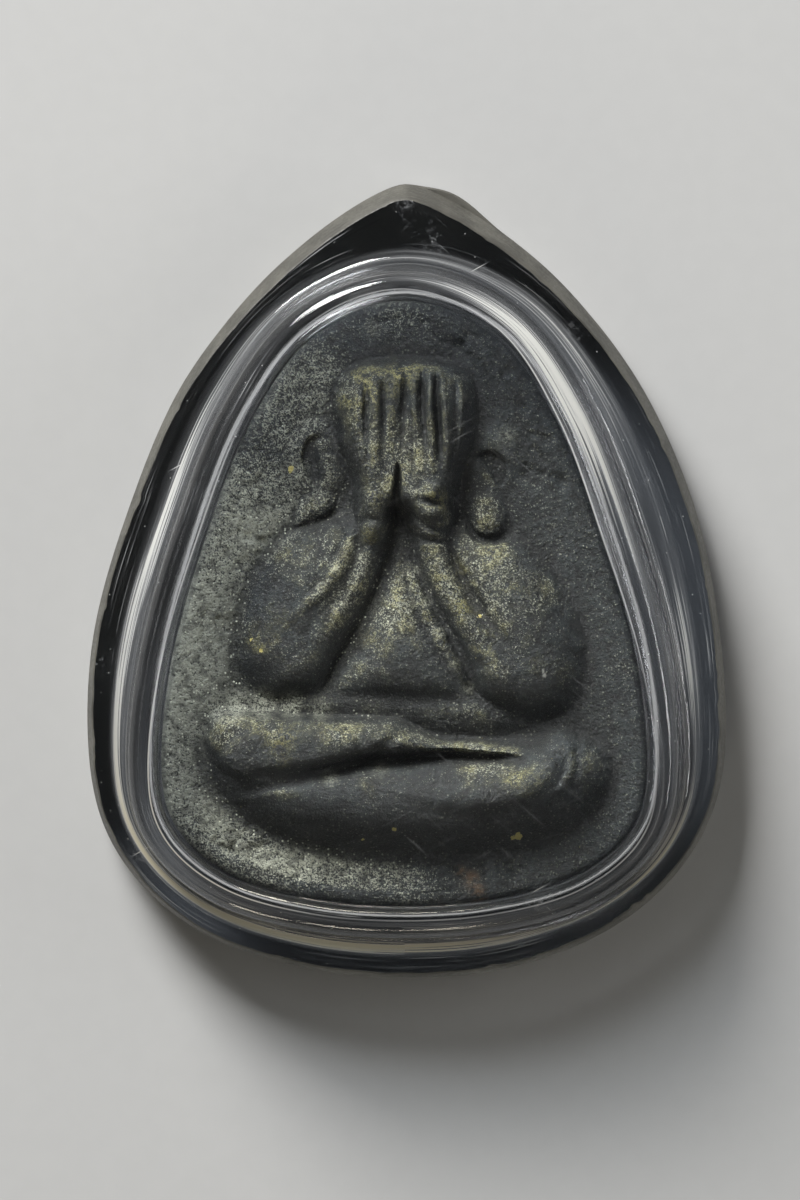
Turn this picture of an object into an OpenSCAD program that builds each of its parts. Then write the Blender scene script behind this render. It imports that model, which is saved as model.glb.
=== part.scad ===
// Cast amulet of a seated figure with its hands over its face, sealed in a clear two-part case.
// The case lies on its back: +Z comes out of the front, +Y points to the tip, and the origin is under
// the middle of the outline. Lengths are in millimetres.

/* [Amulet] */
// Width of the amulet
amulet_w = 24.8; // [18:0.1:36]
// Height of the amulet
amulet_h = 30.7; // [22:0.1:46]
// Thickness of the plaque behind the figure
plaque_t = 2.8; // [1.6:0.1:6]
// Height of the figure's highest point over the plaque
relief_h = 3; // [1:0.1:5]
// Rounding of the plaque's front edge
plaque_edge = 0.8; // [0.3:0.1:1.2]
// Rounding of the plaque's back edge
back_edge = 0.3; // [0.1:0.1:0.4]
// Reach of the soft meeting of two forms of the figure
blend = 0.35; // [0.1:0.05:1]

/* [Fit of the amulet in the case] */
// Gap round the amulet
side_gap = 0.3; // [0.1:0.05:0.8]
// Gap between the figure's highest point and the window
top_gap = 0.35; // [0.1:0.05:2]
// Gap between faces that rest on each other
seam_gap = 0.05; // [0.02:0.01:0.2]

/* [Front shell] */
// Thickness of the wall round the amulet
wall_t = 1.15; // [0.6:0.05:2.5]
// Lean of the wall's outside between foot and crest
wall_draft = 0.2; // [0:0.05:0.4]
// Thickness of the window
window_t = 1.5; // [0.8:0.1:3]
// Rounding of the crest where wall and window meet
crest_r = 0.95; // [0.3:0.05:1.3]
// Rounding inside, where wall and window meet
inner_r = 0.7; // [0.2:0.05:1]
// Radius of the hollow fillet at the foot of the wall
foot_r = 0.9; // [0.3:0.05:1.5]
// Thickness of the rim
rim_t = 1.6; // [0.8:0.1:3]
// Width of the flat rim outside the fillet
rim_w = 1.27; // [0.8:0.01:3]
// Widening of the rim where it is widest
swell_w = 0.9; // [0:0.05:1.2]
// How far the rim's ground edge leans in, all round
edge_lean_w = 0.25; // [0:0.05:0.5]
// How much further the ground edge leans in beside the tip
tip_lean_w = 0.45; // [0:0.05:0.7]

/* [Tip] */
// Rise of the tip over the plain offset outline
tip_rise = 2.1; // [0:0.1:4]
// Distance from the tip over which the rise dies out
tip_w = 9; // [5:0.5:10]
// Rounding of the tip
tip_r = 0.6; // [0.2:0.1:2]

/* [Back shell] */
// Thickness of the back shell
back_t = 1.8; // [1.2:0.1:4]
// Depth of the seat that the amulet lies in
seat_depth = 0.5; // [0.2:0.1:0.8]
// How far the back shell stands out beside the tip
lobe = 0.4; // [0:0.1:0.8]
// Place of that bulge to the right of the tip
lobe_x = 2.6; // [1:0.1:5]
// Half width of that bulge
lobe_w = 2.4; // [1:0.1:3]

/* [Hidden] */

half = [amulet_w, amulet_h] / 2;
amulet_z = back_t - seat_depth + seam_gap;
field_z = amulet_z + plaque_t;
rim_z = back_t + seam_gap;
rim_top = rim_z + rim_t;
ceiling_z = field_z + relief_h + top_gap;
front_z = ceiling_z + window_t;
fillet_out = side_gap + wall_t + foot_r;
border = fillet_out + rim_w;

// Steps of each curve between two of an outline's points, and of each rounding
outline_steps = 5;
form_steps = 3;
line_steps = 3;
round_steps = 4;
// Columns and rows of the amulet's face
columns = 60;
rows = 80;
// Spacing of the columns in the middle, where the hands are, as a share of an even spacing
middle_columns = 0.8;
// How much closer the rows lie at the amulet's top and bottom, where its outline turns
end_rows = 0.3;
// Powers that shape the soft foot of a form, the sides of a line and the flanks of the tip
foot_power = 1.4;
line_power = 1.5;
peak_power = 1.5;
// Share of the rim's widening that the fillet takes
fillet_share = 0.65;
// Finest distance that the outline formulas tell apart
fine = 0.001;

// Right half of the amulet's outline from bottom to top, in shares of the half width and half height
right_half = [
    [0, -1], [0.36, -0.978], [0.70, -0.90], [0.93, -0.745], [1, -0.53], [0.955, -0.17],
    [0.82, 0.22], [0.635, 0.60], [0.375, 0.885], [0, 1]
];

// Widening of the case at each point of the whole outline, anticlockwise from the bottom, in shares of
// swell_w: outwards for the rim, then inwards for the crest.
widening = [
    [0, 0], [-0.1, 0], [-0.55, 0], [-0.65, 0], [-0.05, 0.15], [0.45, 0.45], [1, 0.65], [0.6, 0.5], [0, 0.2],
    [-0.25, 0], [-0.45, 0.05], [0.05, 0.3], [0.3, 0.35], [0.3, 0.25], [-0.2, 0.1], [-0.55, 0], [-0.4, 0],
    [-0.15, 0]
];

// Forms of the figure. The columns are: height as a share of relief_h, growth of that height per share
// up the amulet, width of the rounded edge as a share of the half width, and the outline as points in
// shares of the half width and half height. Left and right are as the viewer sees them.
FORMS = [
    // Skull
    [0.56, 0, 0.10, [
        [0, 0.80], [0.16, 0.79], [0.26, 0.74], [0.295, 0.65], [0.29, 0.53], [0.24, 0.44],
        [0, 0.42], [-0.25, 0.46], [-0.295, 0.56], [-0.30, 0.67], [-0.25, 0.755],
        [-0.14, 0.795]]],
    // Left hand
    [0.66, 0, 0.09, [
        [-0.02, 0.74], [-0.005, 0.60], [-0.015, 0.46], [-0.03, 0.36], [-0.04, 0.24],
        [-0.10, 0.16], [-0.19, 0.18], [-0.215, 0.28], [-0.22, 0.38], [-0.26, 0.48],
        [-0.285, 0.58], [-0.28, 0.69], [-0.20, 0.745], [-0.10, 0.76]]],
    // Right hand
    [0.66, 0, 0.09, [
        [0.02, 0.74], [-0.01, 0.60], [-0.015, 0.46], [0, 0.36], [0, 0.26], [0.06, 0.18],
        [0.16, 0.17], [0.205, 0.26], [0.215, 0.36], [0.25, 0.45], [0.28, 0.55], [0.28, 0.68],
        [0.21, 0.735], [0.11, 0.755]]],
    // Palms where the hands meet
    [0.60, -0.80, 0.09, [
        [0, 0.58], [-0.16, 0.57], [-0.20, 0.50], [-0.20, 0.38], [-0.17, 0.29], [-0.08, 0.265],
        [-0.035, 0.30], [0, 0.275], [0.08, 0.24], [0.16, 0.27], [0.195, 0.36], [0.20, 0.50],
        [0.16, 0.57]]],
    // Left ear
    [0.15, 0, 0.14, [
        [-0.36, 0.60], [-0.25, 0.58], [-0.20, 0.46], [-0.22, 0.36], [-0.32, 0.33],
        [-0.43, 0.36], [-0.475, 0.47], [-0.45, 0.57]]],
    // Left lobe
    [0.14, -7, 0.06, [
        [-0.36, 0.385], [-0.30, 0.375], [-0.27, 0.33], [-0.29, 0.285], [-0.36, 0.262],
        [-0.445, 0.243], [-0.45, 0.28], [-0.42, 0.345]]],
    // Right ear
    [0.16, 0, 0.14, [
        [0.36, 0.60], [0.44, 0.57], [0.48, 0.46], [0.44, 0.37], [0.34, 0.33], [0.22, 0.37],
        [0.20, 0.47], [0.25, 0.57]]],
    // Right lobe
    [0.14, -8, 0.08, [
        [0.29, 0.42], [0.36, 0.42], [0.405, 0.35], [0.42, 0.275], [0.395, 0.225],
        [0.335, 0.208], [0.265, 0.228], [0.24, 0.285], [0.25, 0.355]]],
    // Left upper arm
    [0.53, -0.25, 0.20, [
        [-0.40, 0.28], [-0.53, 0.20], [-0.64, 0.06], [-0.69, -0.09], [-0.69, -0.22],
        [-0.60, -0.30], [-0.46, -0.33], [-0.34, -0.28], [-0.24, -0.10], [-0.14, 0.08],
        [-0.12, 0.24], [-0.20, 0.30], [-0.30, 0.29]]],
    // Left forearm
    [0.59, -0.10, 0.17, [
        [-0.03, 0.30], [-0.07, 0.12], [-0.17, -0.06], [-0.27, -0.20], [-0.37, -0.31],
        [-0.54, -0.31], [-0.60, -0.22], [-0.53, -0.10], [-0.43, -0.02], [-0.33, 0.06],
        [-0.255, 0.15], [-0.22, 0.26], [-0.19, 0.36]]],
    // Right upper arm
    [0.53, -0.25, 0.20, [
        [0.08, 0.24], [0.12, 0.08], [0.22, -0.10], [0.30, -0.28], [0.38, -0.375],
        [0.50, -0.395], [0.64, -0.36], [0.725, -0.26], [0.73, -0.14], [0.68, 0], [0.59, 0.12],
        [0.48, 0.21], [0.36, 0.25], [0.22, 0.27]]],
    // Right forearm
    [0.61, -0.10, 0.12, [
        [0.01, 0.30], [0.03, 0.14], [0.08, 0.02], [0.16, -0.10], [0.23, -0.21], [0.29, -0.31],
        [0.40, -0.36], [0.52, -0.32], [0.50, -0.18], [0.38, -0.07], [0.30, 0.02],
        [0.235, 0.12], [0.20, 0.24], [0.16, 0.34]]],
    // Chest and belly
    [0.51, -0.10, 0.20, [
        [-0.02, 0.29], [-0.06, 0.18], [-0.10, 0.08], [-0.19, -0.07], [-0.29, -0.22],
        [-0.34, -0.31], [-0.20, -0.335], [0.05, -0.345], [0.30, -0.335], [0.28, -0.26],
        [0.20, -0.14], [0.12, -0.02], [0.06, 0.10], [0.025, 0.22]]],
    // Lap
    [0.22, 0, 0.14, [
        [-0.46, -0.28], [-0.20, -0.25], [0.20, -0.26], [0.44, -0.30], [0.50, -0.40],
        [0.30, -0.44], [0, -0.42], [-0.30, -0.40], [-0.52, -0.37]]],
    // Base under the legs
    [0.72, 0, 0.20, [
        [-0.80, -0.47], [-0.79, -0.58], [-0.68, -0.69], [-0.50, -0.77], [-0.20, -0.815],
        [0.20, -0.825], [0.50, -0.79], [0.71, -0.72], [0.82, -0.62], [0.835, -0.52],
        [0.77, -0.44], [0.60, -0.415], [0.20, -0.46], [-0.30, -0.44], [-0.70, -0.42]]],
    // Leg with the left knee
    [0.76, -0.20, 0.10, [
        [-0.82, -0.46], [-0.80, -0.39], [-0.72, -0.345], [-0.50, -0.35], [-0.25, -0.36],
        [-0.05, -0.365], [0.05, -0.40], [0.16, -0.44], [0.38, -0.455], [0.465, -0.495],
        [0.38, -0.52], [0.10, -0.52], [-0.10, -0.535], [-0.30, -0.57], [-0.50, -0.60],
        [-0.68, -0.605], [-0.78, -0.55]]],
    // Leg with the right knee
    [0.96, -0.25, 0.16, [
        [-0.68, -0.645], [-0.50, -0.60], [-0.30, -0.565], [-0.10, -0.535], [0.20, -0.51],
        [0.42, -0.49], [0.54, -0.43], [0.65, -0.41], [0.72, -0.45], [0.74, -0.54],
        [0.70, -0.62], [0.60, -0.69], [0.44, -0.735], [0.25, -0.75], [0.08, -0.735],
        [-0.06, -0.70], [-0.25, -0.675], [-0.45, -0.685], [-0.60, -0.69]]]
];

// Thin ridges and grooves. Each is a list of rows whose columns are: place across and up in shares of the
// half width and half height, radius as a share of the half width, and height as a share of relief_h,
// which is negative for a groove.
LINES = [
    // Groove between the legs
    [[-0.64, -0.61, 0.03, -0.05], [-0.45, -0.58, 0.045, -0.12], [-0.20, -0.52, 0.05, -0.14],
        [0.10, -0.505, 0.045, -0.12], [0.32, -0.508, 0.035, -0.12], [0.47, -0.512, 0.028, -0.05]],
    // Fingers of the right hand and the grooves between them
    [[0.035, 0.74, 0.014, 0.01], [0.036, 0.70, 0.018, 0.07], [0.04, 0.60, 0.018, 0.08],
        [0.048, 0.50, 0.018, 0.05], [0.055, 0.42, 0.014, 0.01]],
    [[0.10, 0.75, 0.014, 0.01], [0.102, 0.71, 0.018, 0.08], [0.105, 0.61, 0.018, 0.10],
        [0.113, 0.50, 0.018, 0.07], [0.12, 0.41, 0.014, 0.01]],
    [[0.155, 0.73, 0.014, 0.01], [0.16, 0.69, 0.018, 0.08], [0.168, 0.60, 0.018, 0.10],
        [0.175, 0.49, 0.018, 0.07], [0.175, 0.40, 0.014, 0.01]],
    [[0.22, 0.70, 0.014, 0.01], [0.228, 0.66, 0.02, 0.04], [0.235, 0.58, 0.022, 0.05],
        [0.225, 0.48, 0.02, 0.02], [0.21, 0.42, 0.016, 0.01]],
    [[0.068, 0.76, 0.012, -0.01], [0.07, 0.72, 0.02, -0.10], [0.075, 0.62, 0.02, -0.10],
        [0.083, 0.51, 0.014, -0.04], [0.09, 0.43, 0.01, -0.01]],
    [[0.128, 0.755, 0.012, -0.01], [0.13, 0.715, 0.022, -0.12], [0.137, 0.62, 0.022, -0.12],
        [0.145, 0.50, 0.016, -0.05], [0.148, 0.42, 0.01, -0.01]],
    [[0.195, 0.73, 0.012, -0.01], [0.20, 0.69, 0.022, -0.09], [0.205, 0.60, 0.02, -0.08],
        [0.20, 0.49, 0.014, -0.04], [0.195, 0.42, 0.01, -0.01]],
    // Fingers of the left hand and the grooves between them
    [[-0.045, 0.73, 0.014, 0.01], [-0.05, 0.69, 0.022, 0.05], [-0.055, 0.60, 0.026, 0.06],
        [-0.06, 0.49, 0.024, 0.03], [-0.06, 0.42, 0.018, 0.01]],
    [[-0.115, 0.74, 0.014, 0.01], [-0.12, 0.70, 0.024, 0.05], [-0.125, 0.60, 0.026, 0.05],
        [-0.125, 0.50, 0.024, 0.03], [-0.12, 0.43, 0.018, 0.01]],
    [[-0.18, 0.71, 0.014, 0.01], [-0.185, 0.67, 0.024, 0.03], [-0.19, 0.60, 0.026, 0.03],
        [-0.18, 0.51, 0.024, 0.02], [-0.17, 0.45, 0.018, 0.01]],
    [[0, 0.75, 0.012, -0.01], [-0.004, 0.71, 0.022, -0.09], [-0.008, 0.64, 0.022, -0.09],
        [-0.012, 0.56, 0.018, -0.04], [-0.016, 0.48, 0.012, -0.01]],
    [[-0.085, 0.73, 0.012, -0.01], [-0.09, 0.69, 0.02, -0.07], [-0.092, 0.60, 0.018, -0.07],
        [-0.092, 0.50, 0.014, -0.03], [-0.09, 0.43, 0.01, -0.01]],
    [[-0.15, 0.72, 0.012, -0.01], [-0.155, 0.68, 0.018, -0.06], [-0.158, 0.60, 0.018, -0.06],
        [-0.152, 0.51, 0.014, -0.02], [-0.145, 0.45, 0.01, -0.01]],
    // Slit between the palms
    [[-0.026, 0.45, 0.012, -0.05], [-0.028, 0.41, 0.02, -0.18], [-0.03, 0.36, 0.026, -0.24],
        [-0.032, 0.32, 0.024, -0.16], [-0.034, 0.295, 0.016, -0.04]],
    // Lumps of the palms
    [[0.10, 0.375, 0.04, 0.03], [0.12, 0.365, 0.045, 0.07], [0.15, 0.35, 0.04, 0.03]],
    [[0.05, 0.315, 0.03, 0.04], [0.09, 0.30, 0.035, 0.07], [0.15, 0.305, 0.03, 0.05]],
    [[-0.18, 0.35, 0.04, 0.03], [-0.14, 0.34, 0.05, 0.05], [-0.09, 0.33, 0.04, 0.03]],
    // Creases of the wrists
    [[-0.20, 0.265, 0.02, -0.02], [-0.15, 0.275, 0.026, -0.08], [-0.08, 0.27, 0.02, -0.03]],
    [[0.02, 0.30, 0.016, -0.04], [0.08, 0.255, 0.024, -0.10], [0.14, 0.24, 0.02, -0.07],
        [0.19, 0.25, 0.016, -0.02]],
    [[0.04, 0.215, 0.018, -0.03], [0.10, 0.205, 0.022, -0.07], [0.18, 0.20, 0.016, -0.02]],
    [[0.06, 0.34, 0.016, -0.03], [0.11, 0.335, 0.02, -0.07], [0.17, 0.33, 0.016, -0.02]],
    // Hollows of the ears and under their lobes
    [[-0.345, 0.535, 0.014, -0.06], [-0.375, 0.525, 0.024, -0.14], [-0.385, 0.49, 0.034, -0.22],
        [-0.38, 0.45, 0.038, -0.24], [-0.365, 0.41, 0.032, -0.18], [-0.355, 0.38, 0.02, -0.05]],
    [[-0.46, 0.238, 0.012, -0.02], [-0.38, 0.252, 0.018, -0.07], [-0.30, 0.28, 0.018, -0.06],
        [-0.27, 0.32, 0.012, -0.01]],
    [[0.29, 0.475, 0.02, -0.06], [0.325, 0.475, 0.036, -0.18], [0.36, 0.455, 0.046, -0.26],
        [0.38, 0.425, 0.042, -0.24], [0.385, 0.395, 0.026, -0.10]],
    [[0.245, 0.275, 0.012, -0.03], [0.268, 0.232, 0.02, -0.12], [0.33, 0.204, 0.026, -0.20],
        [0.395, 0.214, 0.024, -0.16], [0.43, 0.24, 0.014, -0.03]],
    // Folds of the legs
    [[-0.235, -0.40, 0.014, -0.01], [-0.245, -0.45, 0.02, -0.05], [-0.235, -0.50, 0.016, -0.01]],
    [[-0.19, -0.39, 0.014, -0.01], [-0.185, -0.45, 0.02, -0.04], [-0.19, -0.49, 0.016, -0.01]],
    [[0.135, -0.57, 0.016, -0.01], [0.12, -0.62, 0.024, -0.05], [0.125, -0.67, 0.016, -0.01]],
    [[-0.735, -0.57, 0.02, -0.01], [-0.745, -0.50, 0.03, -0.07], [-0.70, -0.435, 0.03, -0.08],
        [-0.61, -0.405, 0.026, -0.05], [-0.50, -0.40, 0.02, -0.01]],
    [[-0.73, -0.52, 0.02, 0.01], [-0.66, -0.55, 0.024, 0.05], [-0.57, -0.58, 0.02, 0.01]],
    [[0.54, -0.41, 0.02, 0.01], [0.65, -0.455, 0.026, 0.05], [0.675, -0.53, 0.026, 0.06],
        [0.62, -0.61, 0.024, 0.05], [0.50, -0.66, 0.02, 0.01]],
    [[0.53, -0.44, 0.03, -0.01], [0.625, -0.485, 0.04, -0.06], [0.63, -0.54, 0.04, -0.06],
        [0.56, -0.61, 0.03, -0.01]],
    [[0.04, -0.41, 0.02, -0.01], [-0.06, -0.45, 0.03, -0.06], [-0.18, -0.52, 0.03, -0.04]],
    [[0.06, -0.43, 0.03, 0.03], [0.20, -0.46, 0.034, 0.10], [0.34, -0.472, 0.036, 0.14],
        [0.43, -0.482, 0.032, 0.12], [0.47, -0.487, 0.026, 0.03]],
    // Groove beside the right forearm and fold beside the left one
    [[0.16, 0.21, 0.02, -0.02], [0.22, 0.11, 0.026, -0.07], [0.30, 0, 0.028, -0.08],
        [0.37, -0.08, 0.026, -0.06], [0.44, -0.16, 0.02, -0.01]],
    [[-0.19, 0.33, 0.024, 0.01], [-0.205, 0.218, 0.03, 0.06], [-0.285, 0.095, 0.034, 0.07],
        [-0.37, 0.01, 0.032, 0.05], [-0.48, -0.065, 0.026, 0.01]],
    // Fold and hollow of the belly
    [[0.02, 0.16, 0.034, 0.05], [0.055, 0.04, 0.044, 0.17], [0.13, -0.09, 0.05, 0.20],
        [0.215, -0.21, 0.046, 0.16], [0.26, -0.275, 0.036, 0.04]],
    [[-0.14, -0.15, 0.09, -0.02], [-0.02, -0.19, 0.13, -0.04], [0.10, -0.20, 0.09, -0.02]]
];

// Curves through given points

// Point of the smooth curve from b to c, at share t of the way, with neighbours a and d
function between(a, b, c, d, t) =
    (2 * b + (c - a) * t + (2 * a - 5 * b + 4 * c - d) * t * t + (3 * b - a - 3 * c + d) * t * t * t) / 2;

// Closed smooth curve through the points
function ring(points, steps) = let (n = len(points)) [
    for (i = [0:n - 1], k = [0:steps - 1])
        between(points[(i + n - 1) % n], points[i], points[(i + 1) % n], points[(i + 2) % n], k / steps)
];

// Open smooth curve through the rows, which carries all their columns along
function path(table, steps) = let (
    n = len(table),
    ends = concat([2 * table[0] - table[1]], table, [2 * table[n - 1] - table[n - 2]])
) [
    for (i = [1:n - 1], k = [0:(i == n - 1 ? steps : steps - 1)])
        between(ends[i - 1], ends[i], ends[i + 1], ends[min(i + 2, n + 1)], k / steps)
];

function mirrored(points) = [for (i = [len(points) - 2:-1:1]) [-points[i].x, points[i].y]];
function scaled(points) = [for (p = points) [p.x * half.x, p.y * half.y]];

// Unit vectors square to a closed anticlockwise curve, pointing out of it
function outward(curve) = let (n = len(curve)) [
    for (i = [0:n - 1])
        let (run = curve[(i + 1) % n] - curve[(i + n - 1) % n]) [run.y, -run.x] / norm(run)
];
function moved(curve, distance) = curve + distance * outward(curve);

amulet_outline = scaled(ring(concat(right_half, mirrored(right_half)), outline_steps));
amulet_outward = outward(amulet_outline);

// Widening of the rim and of the crest at each point of the amulet's outline
swell = swell_w * ring(widening, outline_steps);
// The amulet's outline moved outwards by a distance and by shares of those two widenings
function widened(distance, shares) = [
    for (i = [0:len(amulet_outline) - 1])
        amulet_outline[i] + (distance + shares * swell[i]) * amulet_outward[i]
];

// Outlines of the case. The tip rises over the plain offset as a rounded peak that dies out at tip_w.
function peak(x) = let (away = sqrt(x * x + tip_r * tip_r) - tip_r)
    tip_rise * pow(max(0, 1 - away / tip_w), peak_power);
function with_tip(curve) = [for (p = curve) p.y > 0 ? p + [0, peak(p.x)] : p];
function with_lobe(curve) = [
    for (p = curve)
        let (away = min(1, abs(p.x - lobe_x) / lobe_w))
            p.y > 0 ? p + [0, lobe * (1 + cos(180 * away)) / 2] : p
];
plain_rim = widened(border, [1, 0]);
rim_outline = with_tip(plain_rim);

// Height of the figure over the plaque

// Corners of the box that holds the points
function low(points) = [min([for (p = points) p.x]), min([for (p = points) p.y])];
function high(points) = [max([for (p = points) p.x]), max([for (p = points) p.y])];

// Every piece is moved by this, which brings the middle of the case's outline over the origin.
centring = -(low(rim_outline) + high(rim_outline)) / 2;

// A form made ready: its outline's edges as start, direction and length, its box, and its sizes
function form_ready(form) = let (
    outline = scaled(ring(form[3], form_steps)),
    n = len(outline)
) [
    [
        for (i = [0:n - 1])
            let (run = outline[(i + 1) % n] - outline[i])
                [outline[i], run / norm(run), norm(run)]
    ],
    low(outline),
    high(outline),
    form[0] * relief_h,
    form[1] / half.y,
    form[2] * half.x,
    (low(outline) + high(outline)) / 2
];
forms = [for (form = FORMS) form_ready(form)];

// Pull of one edge on a point: the integral over the edge of one over the distance cubed
function edge_pull(p, e) = let (
    from = (e[0] - p) * e[1],
    to = from + e[2],
    off = max(abs(cross(e[0] - p, e[1])), fine)
) (to / norm([to, off]) - from / norm([from, off])) / (off * off);

// Soft distance from the outline. Near an edge it is the plain distance, and it has no crease inside.
function soft_distance(p, edges) = sqrt(2 / max(fine, sum([for (e = edges) edge_pull(p, e)])));

function sum(values) = values * [for (v = values) 1];

// A point is inside where a line from it to the right crosses the outline an odd number of times.
function inside(p, edges) = len([
    for (e = edges)
        let (end = e[0].y + e[1].y * e[2])
            if ((e[0].y > p.y) != (end > p.y) && p.x < e[0].x + (p.y - e[0].y) * e[1].x / e[1].y) 1
]) % 2 == 1;

// A pillow over the outline, with a rounded edge and a soft foot
function pillow(p, f) =
    p.x <= f[1].x || p.y <= f[1].y || p.x >= f[2].x || p.y >= f[2].y || !inside(p, f[0]) ? 0 :
    let (t = min(1, soft_distance(p, f[0]) / f[5]))
        f[3] * (1 + f[4] * (p.y - f[6].y)) * pow(1 - (1 - t) * (1 - t), foot_power);

// The higher of two forms, with a soft meeting where both are about as high
function joined(a, b) = let (
    near = max(0, blend - abs(a - b)),
    both = min(1, max(0, min(a, b) / blend))
) max(a, b) + near * near / (4 * blend) * both;

function figure(p, i = 0, z = 0) = i == len(forms) ? z : figure(p, i + 1, joined(z, pillow(p, forms[i])));

// A line made ready: its pieces, its box, with its widest radius round it
function line_ready(table) = let (
    reach = max([for (row = table) row[2]]) * half.x * [1, 1],
    points = [for (row = path(table, line_steps)) [[row[0] * half.x, row[1] * half.y], row[2] * half.x,
        row[3] * relief_h]],
    places = [for (row = points) row[0]]
) [points, low(places) - reach, high(places) + reach];
lines = [for (table = LINES) line_ready(table)];

// Closeness of a point to one piece of a line, as share of its radius, and the height there
function piece_at(p, a, b) = let (
    run = b[0] - a[0],
    t = min(1, max(0, (p - a[0]) * run / (run * run))),
    radius = a[1] + (b[1] - a[1]) * t
) [norm(p - a[0] - run * t) / radius, a[2] + (b[2] - a[2]) * t];

function line_height(p, line) =
    p.x <= line[1].x || p.y <= line[1].y || p.x >= line[2].x || p.y >= line[2].y ? 0 :
    let (
        pieces = [for (i = [0:len(line[0]) - 2]) piece_at(p, line[0][i], line[0][i + 1])],
        closest = min([for (piece = pieces) piece[0]]),
        height = [for (piece = pieces) if (piece[0] == closest) piece[1]][0]
    ) closest >= 1 ? 0 : height * pow(1 - closest * closest, line_power);

function relief(p) = max(0, figure(p) + sum([for (line = lines) line_height(p, line)]));

// Meshes

// Quads between rings of equal length, as two triangles each, from the first ring to the last
function bands(rings, n) = [
    for (r = [0:rings - 2], i = [0:n - 1])
        let (a = r * n + i, b = r * n + (i + 1) % n)
            each [[a, b, b + n], [a, b + n, a + n]]
];

// The amulet's face: rows across the outline, which the table of half widths gives for each height
face_edge = [for (p = moved(amulet_outline, -plaque_edge)) if (p.x > -fine) [p.y, max(0, p.x)]];
face_low = face_edge[0][0];
face_high = face_edge[len(face_edge) - 1][0];
function row_share(j) = let (t = 2 * j / rows - 1) (1 - end_rows) * t + end_rows * sin(90 * t);
function row_y(j) = (face_high + face_low + (face_high - face_low) * row_share(j)) / 2;
function column_share(i) = let (t = 2 * i / columns - 1) t * (middle_columns + (1 - middle_columns) * t * t);
function on_face(i, j) = [column_share(i) * lookup(row_y(j), face_edge), row_y(j)];

// The face's border, anticlockwise from its lowest point
face_border = concat(
    [[0, face_low]],
    [for (j = [1:rows - 1]) on_face(columns, j)],
    [[0, face_high]],
    [for (j = [rows - 1:-1:1]) on_face(0, j)]
);

// Rings of the amulet's side, as distance outside the face's border and height
amulet_side = concat(
    [for (k = [1:round_steps]) let (a = 90 * k / round_steps)
        [plaque_edge * sin(a), field_z - plaque_edge * (1 - cos(a))]],
    [[plaque_edge, amulet_z + back_edge], [plaque_edge - back_edge, amulet_z]]
);

module amulet() {
    around = len(face_border);
    inner = (columns + 1) * (rows - 1);
    low_pole = inner;
    high_pole = inner + 1;
    first_ring = inner + 2;
    face_points = [
        for (j = [1:rows - 1], i = [0:columns])
            let (p = on_face(i, j))
                [p.x, p.y, field_z + relief(p)]
    ];
    poles = [[0, face_low, field_z], [0, face_high, field_z]];
    side_points = [for (s = amulet_side, p = moved(face_border, s[0])) [p.x, p.y, s[1]]];
    // The border again, as indices into the face's points
    border_index = concat(
        [low_pole],
        [for (j = [0:rows - 2]) j * (columns + 1) + columns],
        [high_pole],
        [for (j = [rows - 2:-1:0]) j * (columns + 1)]
    );
    // Each cell is cut along the diagonal that runs more level, so that slopes come out smooth.
    face_mesh = [
        for (j = [0:rows - 3], i = [0:columns - 1])
            let (
                a = j * (columns + 1) + i,
                b = a + 1,
                c = b + columns + 1,
                d = a + columns + 1,
                rise = abs(face_points[a].z - face_points[c].z),
                other_rise = abs(face_points[b].z - face_points[d].z)
            )
                each rise < other_rise ? [[a, c, b], [a, d, c]] : [[a, d, b], [b, d, c]]
    ];
    last_row = (rows - 2) * (columns + 1);
    pole_mesh = [
        for (i = [0:columns - 1])
            each [[low_pole, i, i + 1], [high_pole, last_row + i + 1, last_row + i]]
    ];
    collar = [
        for (i = [0:around - 1])
            let (a = border_index[i], b = border_index[(i + 1) % around],
                c = first_ring + i, d = first_ring + (i + 1) % around)
                each [[a, b, d], [a, d, c]]
    ];
    side = [for (t = bands(len(amulet_side), around)) t + first_ring * [1, 1, 1]];
    last_ring = first_ring + (len(amulet_side) - 1) * around;
    bottom = [[for (i = [0:around - 1]) last_ring + i]];
    color([0.22, 0.23, 0.23])
        translate(centring)
            polyhedron(
                concat(face_points, poles, side_points),
                concat(face_mesh, pole_mesh, collar, side, bottom)
            );
}

// A section of the case is a list of corners, each with its distance outside the amulet, its height, and
// its shares of the two widenings. This is a quarter round between two corners, without the first.
function quarter(from, to, flip) = [
    for (k = [1:round_steps])
        let (a = 90 * k / round_steps, s = flip ? 1 - cos(a) : sin(a), c = flip ? sin(a) : 1 - cos(a))
            [for (column = [0:2]) from[column] + (to[column] - from[column]) * (column == 1 ? c : s)]
];

// Section of the front shell outside, from the window's edge down to the fillet's end on the rim
wall_out = side_gap + wall_t;
window_edge = [wall_out - wall_draft - crest_r, front_z, [0, -1]];
crest_foot = [wall_out - wall_draft, front_z - crest_r, [0, 0]];
wall_foot = [wall_out, rim_top + foot_r, [0, 0]];
fillet_end = [fillet_out, rim_top, [fillet_share, 0]];
outside = concat(
    [window_edge],
    quarter(window_edge, crest_foot, false),
    [wall_foot],
    quarter(wall_foot, fillet_end, true)
);
// Section of the cavity, from its mouth up to the ceiling
cavity_side = [side_gap, ceiling_z - inner_r, [0, 0]];
cavity = concat(
    [[side_gap, rim_z, [0, 0]], cavity_side],
    quarter(cavity_side, [side_gap - inner_r, ceiling_z, [0, 0]], true)
);
function carried(section) = [for (c = section) [for (p = widened(c[0], c[2])) [p.x, p.y, c[1]]]];

// The ground edge leans in most beside the tip and least at the bottom.
function edge_lean(p) = edge_lean_w + tip_lean_w * pow(max(0, p.y / rim_outline_high), 2);
rim_outline_high = high(rim_outline).y;

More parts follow.
